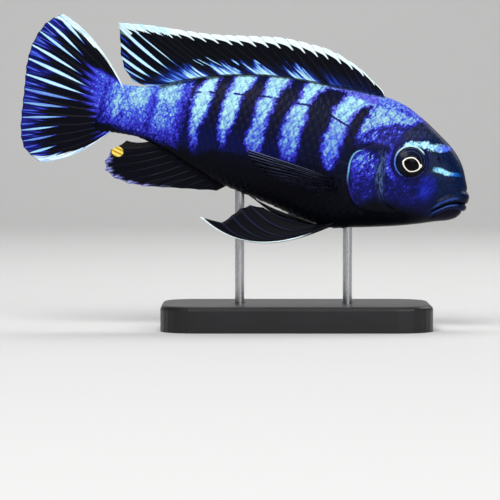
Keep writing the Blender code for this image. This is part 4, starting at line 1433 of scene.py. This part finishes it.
# How brightly a pale streak shines: it starts thin inside the fin, swells and ends at the margin
def streakGlow(paint, index, look, threads):
    columns = zip(*look["streaks"])
    starts, widths, glows = (tuple(enumerate(column, look["firstStreak"])) for column in columns)
    whole = paint.maths("ROUND", index)
    start = paint.curve(whole, starts)
    run = (paint.share - start) / (1.0 - start)
    wide = paint.curve(whole, widths) * (paint.ease(run, 0.0, 0.55) * 0.75 + 0.25)
    wide = wide * (1.0 - paint.ease(run, 0.60, 1.0) * look["tipTaper"])
    across = abs(index - whole) / wide
    fill = paint.ease(across + threads * 0.4, 1.15, 0.55) * paint.ease(run + threads * 0.1, 0.0, 0.06)
    strong = paint.curve(whole, glows)
    return fill * (paint.ease(run, 0.0, 0.3) * (strong - 0.42) + 0.42 + threads * 0.3)


# Flames spring rearwards from the light bars, flat at first and then steeper, with a pale sheath at the front
def dorsalFlames(paint, behind, fromRoot, threads, speckle):
    foot = behind - paint.curve(fromRoot, dorsal["flameLean"])
    licks = paint.noise(paint.vector(foot * 1.9, fromRoot * 0.16), 1.0, 2.0, 0.6) - 0.5
    source = paint.curve(foot + threads * 0.8, dorsal["flames"])
    flame = source * (0.74 + licks * 2.1) * paint.ease(fromRoot - licks * 10.0 + speckle * 2.0, 5.8, 1.2)
    glow = paint.higher(flame, 0.0) + paint.ease(fromRoot + threads * 3.0, 5.4, 0.4) * source * 0.30
    glow = glow + paint.ease(threads, 0.05, 0.35) * 0.12
    sheath = paint.ease(fromRoot + speckle * 2.2 + threads, 1.7, 0.2) * paint.curve(behind, dorsal["sheath"])
    return paint.higher(glow, sheath * (1.0 + licks * 0.8))


def dorsalDash(paint, dash, threads):
    (number, out), lean, span, wide = dash
    away = abs(paint.number - (paint.share - out) * lean - number + threads * 0.3)
    past = abs(paint.share - out)
    narrowed = away / (1.0 - past * (0.7 / span))
    dash = paint.ease(narrowed, wide, wide * 0.4) * paint.ease(past, span, span * 0.6)
    return dash * (0.90 + threads * 0.5)


def dorsalSpark(paint, behind, height, ends, speckle):
    start, end = ends
    run, rise = end[0] - start[0], end[1] - start[1]
    length = math.hypot(run, rise)
    past, above = behind - start[0], height - start[1]
    share = (past * run + above * rise) / length**2
    off = abs((past * rise - above * run) / length + speckle * 0.2)
    return paint.ease(off, 0.24, 0.08) * paint.ease(share, 0.0, 0.3) * paint.ease(share, 1.0, 0.6) * 0.82


# Streaks between the soft rays, short ones at their ends, and a last ray that is pale along its middle
def dorsalStreaks(paint, glow, threads):
    number, share = paint.number, paint.share
    index = paint.curve(number - (1.0 - share) * 1.1, dorsal["streakPlaces"])
    glow = paint.higher(glow, streakGlow(paint, index, dorsal, threads) * paint.ease(number, 19.8, 20.4))
    ends = share + threads * 0.2
    between = paint.ease(abs(paint.maths("FRACT", index) - 0.5), 0.12, 0.04)
    glow = glow + between * (paint.ease(ends, 0.80, 0.90) * paint.ease(number, 22.3, 22.6) * 0.42)
    last = paint.ease(number, 25.70, 25.90) * paint.ease(ends, 0.08, 0.2) * paint.ease(ends, 0.8, 0.5)
    return paint.higher(glow, last * 0.80)


# White lappets: deep just behind each spine, thin before the next, and streaky behind the last
def dorsalLappets(paint, colour, fromMargin, threads):
    number, part = paint.number, paint.part
    deep = 2.10 - part * 0.75 + paint.ease(part, 0.30, 0.02) * 0.55
    deep = deep * (0.35 + paint.ease(number, 0.0, 6.0) * 0.65) + 0.05
    late = paint.ease(number, 17.0, 18.4)
    deep = deep + late * (0.55 + threads * 3.2)
    lappet = paint.ease(fromMargin - deep, 0.10, -0.08) * paint.ease(number + threads, 22.7, 22.0)
    tone = paint.mix(late * paint.ease(threads, 0.12, -0.10) * 0.8, tint["white"], shown(150, 208, 236))
    colour = paint.mix(lappet, colour, tone)
    seam = paint.ease(part, 0.07, 0.02) * lappet * paint.ease(number, 18.0, 17.0)
    return paint.mix(seam * 0.7, colour, shown(90, 120, 150))


def dorsalFinish():
    paint = FinPaint("dorsalMembrane", dorsal["spines"] + dorsal["softRays"])
    fromMargin, fromRoot = paint.uv("finReach")
    behind, side, height = paint.fishSpace()
    threads = paint.threads(6.0, fromRoot * 0.22)
    speckle = specklesOf(paint, paint.vector(behind, side, height), 2.0)
    glow = dorsalFlames(paint, behind, fromRoot, threads, speckle)
    for dash in dorsal["dashes"]:
        glow = paint.higher(glow, dorsalDash(paint, dash, threads))
    for ends in dorsal["sparks"]:
        glow = paint.higher(glow, dorsalSpark(paint, behind, height, ends, speckle))
    colour = paint.ramp(dorsalStreaks(paint, glow, threads), flameRamp)
    # Painted shade: the fin turns black along its foot, where it meets the back
    colour = paint.mix(paint.ease(fromRoot + speckle * 0.3, 1.30, 1.08) * 0.85, colour, tint["black"])
    return paint.surface(dorsalLappets(paint, colour, fromMargin, threads))


# Pale streaks that lean across the rays, and short violet ones between them at the margin
def caudalStreaks(paint, fromRoot, threads):
    number, share = paint.number, paint.share
    index = paint.curve(number - (1.0 - share) * (2.2 - number * 0.3), caudal["streakPlaces"])
    glow = paint.ease(threads, 0.05, 0.30) * 0.10
    between = abs(paint.maths("FRACT", index * 2.0 + 0.5) - 0.5)
    short = paint.ease(between, 0.17, 0.05) * paint.ease(share + threads * 0.22, 0.78, 0.90)
    glow = paint.higher(glow, short * (0.58 + threads * 0.4))
    fine = paint.noise(paint.vector(number * 11.0, fromRoot * 0.12), 1.0, 1.0, 0.5) - 0.5
    outer = paint.ease(share + threads * 0.25, 0.68, 0.86)
    glow = paint.higher(glow, paint.ease(fine, 0.02, 0.15) * outer * 0.56)
    glow = paint.higher(glow, streakGlow(paint, index, caudal, threads))
    haze = paint.ease(share + threads * 0.3, 0.66, 1.0) * 0.22
    return paint.higher(glow, haze + fine * 0.40)


# Skin colour runs a little way onto the rays, further along some than others
def caudalFoot(paint, threads):
    behind, side, height = paint.fishSpace()
    speckle = specklesOf(paint, paint.vector(behind, side, height), 2.2)
    reach = paint.curve(height, caudal["footReach"]) + paint.ease(paint.near, 0.30, 0.12) * 0.8 * 2.2
    foot = paint.ease(behind + speckle * 4.0 + threads * 3.0 - reach, 1.6, -1.8)
    fromTop = height - paint.curve(behind, caudal["footTop"])
    foot = foot * paint.ease(fromTop + speckle * 1.4 + threads, 0.5, -0.4)
    return foot * (0.48 + speckle * 1.1)


def caudalFinish():
    paint = FinPaint("caudalMembrane", caudal["rays"])
    number, share = paint.number, paint.share
    fromMargin, fromRoot = paint.uv("finReach")
    threads = paint.threads(7.0, fromRoot * 0.25)
    glow = paint.higher(caudalStreaks(paint, fromRoot, threads), caudalFoot(paint, threads))
    colour = paint.ramp(glow, finRamp)
    # White along the upper edge, widening to the corner, and along the lower edge
    upper = paint.ease(number + threads * 0.5 - paint.curve(share, caudal["upperBand"]), 0.10, -0.06)
    streaky = paint.ease(threads, -0.02, 0.12) * paint.ease(share, 0.45, 0.6)
    colour = paint.mix(upper, colour, paint.mix(streaky, tint["white"], shown(120, 184, 226)))
    fromLast = caudal["rays"] - 1.0 - number
    lower = paint.ease(fromLast + threads * 0.8 - paint.curve(share, caudal["lowerBand"]), 0.10, -0.06)
    colour = paint.mix(lower, colour, paint.shade(threads, -0.05, 0.12, tint["white"], shown(126, 172, 228)))
    colour = paint.mix(paint.ease(fromMargin, 0.30, 0.08) * 0.6, colour, shown(30, 32, 60))
    return paint.surface(colour)


def analFinish():
    paint = FinPaint("analMembrane", anal["spines"] + anal["softRays"])
    fromMargin, fromRoot = paint.uv("finReach")
    behind, height = paint.fishSpace()[::2]
    threads = paint.threads(7.0, fromRoot * 0.25)
    colour = paint.shade(threads, 0.0, 0.3, tint["black"], shown(8, 12, 34))
    smoky = paint.ease(paint.number + threads, 8.4, 9.4)
    colour = paint.mix(smoky, colour, shown(10, 9, 14))
    # Pale violet dashes along the lower rear edge, each running a little way in along a ray
    dashes = paint.ease(paint.near, 0.34, 0.16) * paint.ease(fromMargin + threads * 1.6, 1.5, 0.7)
    dashes = paint.higher(dashes, paint.ease(fromMargin + threads * 1.2, 0.55, 0.2))
    dashes = dashes * paint.ease(paint.number + threads * 4.0, 2.6, 4.4) * paint.ease(paint.number, 9.0, 8.4)
    violet = paint.shade(threads, -0.1, 0.12, shown(64, 58, 150), shown(176, 186, 228))
    colour = paint.mix(dashes * 0.85, colour, violet)
    # The egg spot, with finely lined yolk
    spot = paint.ease(blob(paint, behind, height, *anal["eggSpot"]) + threads * 0.2, 1.04, 0.92)
    lines = paint.maths("SINE", (height - behind * 0.22) * 8.0 + threads * 2.0)
    colour = paint.mix(spot, colour, paint.shade(lines, -0.9, 0.1, shown(170, 126, 28), shown(232, 208, 96)))
    clear = 1.0 - smoky * (1.0 - spot) * paint.ease(paint.near, 0.04, 0.16) * 0.12
    return paint.surface(colour, alpha=clear)


def pelvicFinish():
    paint = FinPaint("pelvicMembrane", pelvic["rays"])
    number, share = paint.number, paint.share
    behind, side = paint.fishSpace()[:2]
    threads = paint.threads(7.0, paint.uv("finReach")[1] * 0.25)
    colour = paint.shade(threads, 0.0, 0.3, tint["black"], shown(10, 13, 32))
    onRay = paint.ease(paint.near, 0.10, 0.02) * paint.ease(share, 0.1, 0.5)
    colour = paint.mix(onRay * 0.5, colour, shown(38, 44, 74))
    lead = paint.ease(number * (0.35 + share), 0.27, 0.15) * paint.ease(share + threads * 0.3, 0.16, 0.30)
    # On the folded left fin only the outer part of the edge is white
    lead = lead * (1.0 - paint.ease(side, -1.0, 1.0) * paint.ease(behind + threads, 32.4, 30.6))
    return paint.surface(paint.mix(lead, colour, tint["white"]))


def pectoralFinish():
    paint = FinPaint("pectoralMembrane", pectoral["rays"])
    number, share = paint.number, paint.share
    threads = paint.threads(7.0, share * 3.0)
    onRay = paint.ease(paint.near, 0.16, 0.05)
    upwards = paint.ease(number, 7.0, 1.0) * 0.16
    pale = paint.shade(threads + upwards, 0.0, 0.30, shown(10, 12, 30), shown(96, 100, 132))
    colour = paint.mix(onRay, shown(3, 5, 16), pale)
    top = paint.ease(number, 0.34, 0.16)
    colour = paint.mix(top * paint.ease(share, 0.2, 0.4) * 0.7, colour, shown(110, 118, 150))
    foot = paint.ease(share, 0.16, 0.05)
    colour = paint.mix(paint.ease(share, 0.30, 0.12) * 0.8, colour, shown(6, 8, 20))
    clear = paint.lower(0.62 - foot * 0.3 + onRay * 0.25 + top * 0.4, 1.0)
    return paint.surface(colour, roughness=0.40, specularLevel=0.04, alpha=clear)


def spineMargin(i, x):
    if i < dorsal["spines"] - 1:
        return 0.5 * (1 - ease(0.0, 0.45, x)) * ease(0.0, 0.06, x)
    return 0.12 * math.sin(math.pi * x)


# What the fins share: faces from ray to ray and outwards, thicknesses, the depth of the root, and the wave
finLook = {
    "between": 12,
    "rows": 30,
    "thickest": 1.0,
    "membrane": 0.14,
    "ray": 0.42,
    "foot": 0.9,
    "footShare": 0.2,
    "sink": 0.9,
    "wave": 0.12,
    "waveTurns": 1.1,
    "soft": lambda i: True,
    "margin": scallop(0.12),
}


def makeFins():
    look = dict(finLook, margin=spineMargin, between=8, soft=lambda i: i >= dorsal["spines"])
    makeFin("dorsalFin", "dorsal_fin", "fin_dorsal", dorsalRays(), look, dorsalFinish())
    look = dict(finLook, rows=44, thickest=1.8, foot=1.7, footShare=0.26, sink=0.4, wave=0.18, waveTurns=0.9)
    makeFin("caudalFin", "caudal_fin", "fin_caudal", caudalRays(), look, caudalFinish())
    look = dict(finLook, soft=lambda i: i >= anal["spines"], margin=scallop(0.25))
    makeFin("analFin", "anal_fin", "fin_dark", analRays(), look, analFinish())
    pectoralPaint, pelvicPaint = pectoralFinish(), pelvicFinish()
    pectoralLook = dict(finLook, sink=0.7, thickest=0.9, ray=0.32, membrane=0.10, footShare=0.16)
    pelvicLook = dict(finLook, between=16, sink=1.0, foot=0.85, thickest=0.9, wave=0.0)
    for hand, word in ((-1, "Right"), (1, "Left")):
        name, node = "pectoralFin" + word, "pectoral_fin_" + word.lower()
        makeFin(name, node, "fin_pectoral", pectoralRays(hand), pectoralLook, pectoralPaint)
        name, node = "pelvicFin" + word, "pelvic_fin_" + word.lower()
        makeFin(name, node, "fin_dark", pelvicRays(hand), pelvicLook, pelvicPaint)


# The gold ring follows the pupil, which is pointed in front and behind, and the notch lies before it
eyeMarks = {
    "pupil": ((12.25, 3.38), (1.62, 1.30), 7.0),
    "notch": ((10.50, 3.53), (0.32, 0.38)),
    "black": (0.001, 0.001, 0.002),
    "shadow": (0.001, 0.002, 0.004),
    "iris": ((0.002, 0.003, 0.010), (0.010, 0.018, 0.060)),
    "arcs": (0.045, 0.065, 0.14),
    "gold": shown(244, 240, 226),
}


def eyeFinish():
    paint = Paint("eyeball")
    behind, height = paint.fishSpace()[::2]
    ring = pointed(behind, height, *eyeMarks["pupil"])
    notch = blob(paint, behind, height, *eyeMarks["notch"])
    streaks = paint.noise(paint.vector(behind * 2.0, height * 6.0), 1.0, 3.0)
    colour = paint.shade(streaks, 0.45, 0.72, *eyeMarks["iris"])
    light = height + (behind - eye["behind"]) * 0.7
    colour = paint.shade(light, 1.2, 5.2, eyeMarks["shadow"], colour)
    # Fine pale arcs in the upper front of the iris
    out = blob(paint, behind, height, (eye["behind"], eye["height"]), (1.0, 1.0))
    arcs = paint.ease(paint.maths("SINE", out * 12.0 + streaks * 2.0), 0.35, 0.95) * paint.ease(out, 1.7, 2.1)
    arcs = arcs * paint.ease(height - behind * 0.5, -2.2, -0.6)
    colour = paint.mix(arcs * 0.7, colour, eyeMarks["arcs"])
    pupil = paint.ease(ring, 0.98, 0.92)
    colour = paint.mix(pupil, colour, eyeMarks["black"])
    gold = paint.ease(abs(ring - 1.04), 0.105, 0.060)
    gold = paint.higher(gold, paint.ease(notch, 1.1, 0.8) * (1.0 - pupil))
    return paint.set(
        baseColor=paint.mix(gold, colour, eyeMarks["gold"]),
        roughness=0.30 - gold * 0.02,
        specularLevel=0.06,
        coatWeight=0.05,
        coatRoughness=0.03,
    )


def makeEye(name, node, hand, material):
    centre, normal = eyeFrame(hand)
    bm = bmesh.new()
    bmesh.ops.create_uvsphere(bm, u_segments=72, v_segments=48, radius=1.0)
    # The sphere's poles look outwards, with the lens a slight dome over the pupil
    turn = Vector((0, 0, 1)).rotation_difference(normal)
    for v in bm.verts:
        dome = 0.16 * bell(math.hypot(v.co.x, v.co.y), 0.42) if v.co.z > 0 else 0.0
        at = Vector((v.co.x * eye["radius"], v.co.y * eye["radius"], v.co.z * eye["depth"] + dome))
        at = turn @ at + centre
        v.co = fishPoint(-at.x, at.y, at.z)
    faceOut(bm)
    finishPiece(name, bm, material, "eye", node)


def lacquerFinish():
    paint = Paint("satinLacquer")
    place = paint.objectPlace()
    cloud = paint.noise(place, 60.0, 4.0)
    dust = paint.noise(place, 2600.0, 2.0)
    return paint.set(
        baseColor=paint.mix(cloud, (0.010, 0.010, 0.011), (0.017, 0.017, 0.019)),
        roughness=cloud * 0.10 + 0.34,
        specularLevel=0.28,
        normal=paint.bump(dust, 0.05, 0.00004),
        coatWeight=0.08,
        coatRoughness=0.15,
    )


def steelFinish():
    paint = Paint("brushedRod")
    x, y, z = paint.parts(paint.objectPlace())
    drawn = paint.noise(paint.vector(x * 9000.0, y * 9000.0, z * 260.0), 1.0, 2.0)
    cloud = paint.noise(paint.vector(x * 300.0, y * 300.0, z * 300.0), 1.0, 2.0)
    return paint.set(
        baseColor=paint.mix(drawn, (0.50, 0.51, 0.53), (0.66, 0.67, 0.69)),
        metallic=1.0,
        roughness=drawn * 0.14 + cloud * 0.08 + 0.16,
        normal=paint.bump(drawn, 0.12, 0.00003),
    )


def dressStand():
    lacquer, steel = lacquerFinish(), steelFinish()
    for name, finish in (("stand_base", lacquer), ("stand_rod_front", steel), ("stand_rod_rear", steel)):
        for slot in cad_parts[name].material_slots:
            slot.material = finish
    print("stand dressed")


# Lengths of the studio are in metres
studio = {
    "sweepSize": 3.2,
    "sweepFront": 1.2,
    "sweepBack": 0.66,
    "sweepRadius": 0.30,
    "floorTint": (0.54, 0.54, 0.535),
    "worldTint": (0.86, 0.88, 0.92),
    "worldLight": 0.09,
    # place, aim, size, power
    "lights": (
        ((-0.16, -0.46, 0.60), (0.0, 0.0, 0.03), 0.45, 5.5),
        ((0.36, -0.60, 0.34), (0.0, 0.0, 0.03), 0.50, 2.2),
        ((0.0, 0.20, 0.52), (0.0, 0.0, 0.03), 0.35, 1.0),
        ((0.34, 0.26, 0.28), (0.0, 0.0, 0.03), 0.22, 0.5),
        ((0.0, 0.42, 0.85), (0.0, 0.98, 0.10), 0.60, 4.2),
    ),
}


def paperFinish():
    paint = Paint("palePaper")
    cloud = paint.noise(paint.objectPlace(), 30.0, 3.0)
    tone = studio["floorTint"]
    return paint.set(baseColor=paint.mix(cloud, tuple(c * 0.985 for c in tone), tone), roughness=0.85)


# A sheet of paper that lies flat under the model and curves up behind it
def makeStage():
    bm = bmesh.new()
    bmesh.ops.create_grid(bm, x_segments=8, y_segments=80, size=0.5)
    size, radius, back = studio["sweepSize"], studio["sweepRadius"], studio["sweepBack"]
    for v in bm.verts:
        x, run = v.co.x * size, (v.co.y + 0.5) * size - studio["sweepFront"]
        if run <= back:
            v.co = (x, run, 0.0)
        elif run < back + radius * math.pi / 2:
            turn = (run - back) / radius
            v.co = (x, back + radius * math.sin(turn), radius * (1 - math.cos(turn)))
        else:
            v.co = (x, back + radius, run - back - radius * math.pi / 2 + radius)
    meshObject("studioSweep", bm, paperFinish())
    print("stage laid")


def addObject(name, data, place, view):
    item = bpy.data.objects.new(name, data)
    bpy.context.scene.collection.objects.link(item)
    item.location = place
    item.rotation_euler = view.to_track_quat("-Z", "Y").to_euler()
    return item


def lightStudio():
    world = bpy.data.worlds.new("studio")
    bpy.context.scene.world = world
    world.use_nodes = True
    back = world.node_tree.nodes["Background"]
    back.inputs[0].default_value = (*studio["worldTint"], 1.0)
    back.inputs[1].default_value = studio["worldLight"]
    for i, (place, aim, size, power) in enumerate(studio["lights"]):
        light = bpy.data.lights.new("softbox" + str(i), "AREA")
        light.shape = "DISK"
        light.size = size
        light.energy = power
        addObject(light.name, light, place, Vector(aim) - Vector(place))
    print("lights set")


# The photograph is square and 96.5 mm wide at the fish: its centre lies here, and the lens looks along +Y.
# These lengths are in millimetres again.
shot = {"centre": Vector((-8.9, 0.0, 15.2)), "width": 96.5, "distance": 600.0, "height": 38.0, "sensor": 36.0}


def placeCamera():
    camera = bpy.data.cameras.new("camera")
    place = Vector((shot["centre"].x, -shot["distance"], shot["height"]))
    camera.sensor_width = shot["sensor"]
    camera.lens = shot["sensor"] * (shot["centre"] - place).length / shot["width"]
    camera.clip_start = 0.01
    bpy.context.scene.camera = addObject("camera", camera, place * mm, shot["centre"] - place)
    bpy.context.scene.view_settings.view_transform = "Standard"
    print("camera placed")


def main():
    placeCamera()
    makeStage()
    lightStudio()
    makeSkin(skinFinish())
    scalePaint = scaleFinish()
    laid = layScales()
    makeScales("scalesRight", -1, laid, scalePaint)
    makeScales("scalesLeft", 1, laid, scalePaint)
    makeFins()
    eyePaint = eyeFinish()
    makeEye("eyeRight", "eye_right", -1, eyePaint)
    makeEye("eyeLeft", "eye_left", 1, eyePaint)
    dressStand()


main()
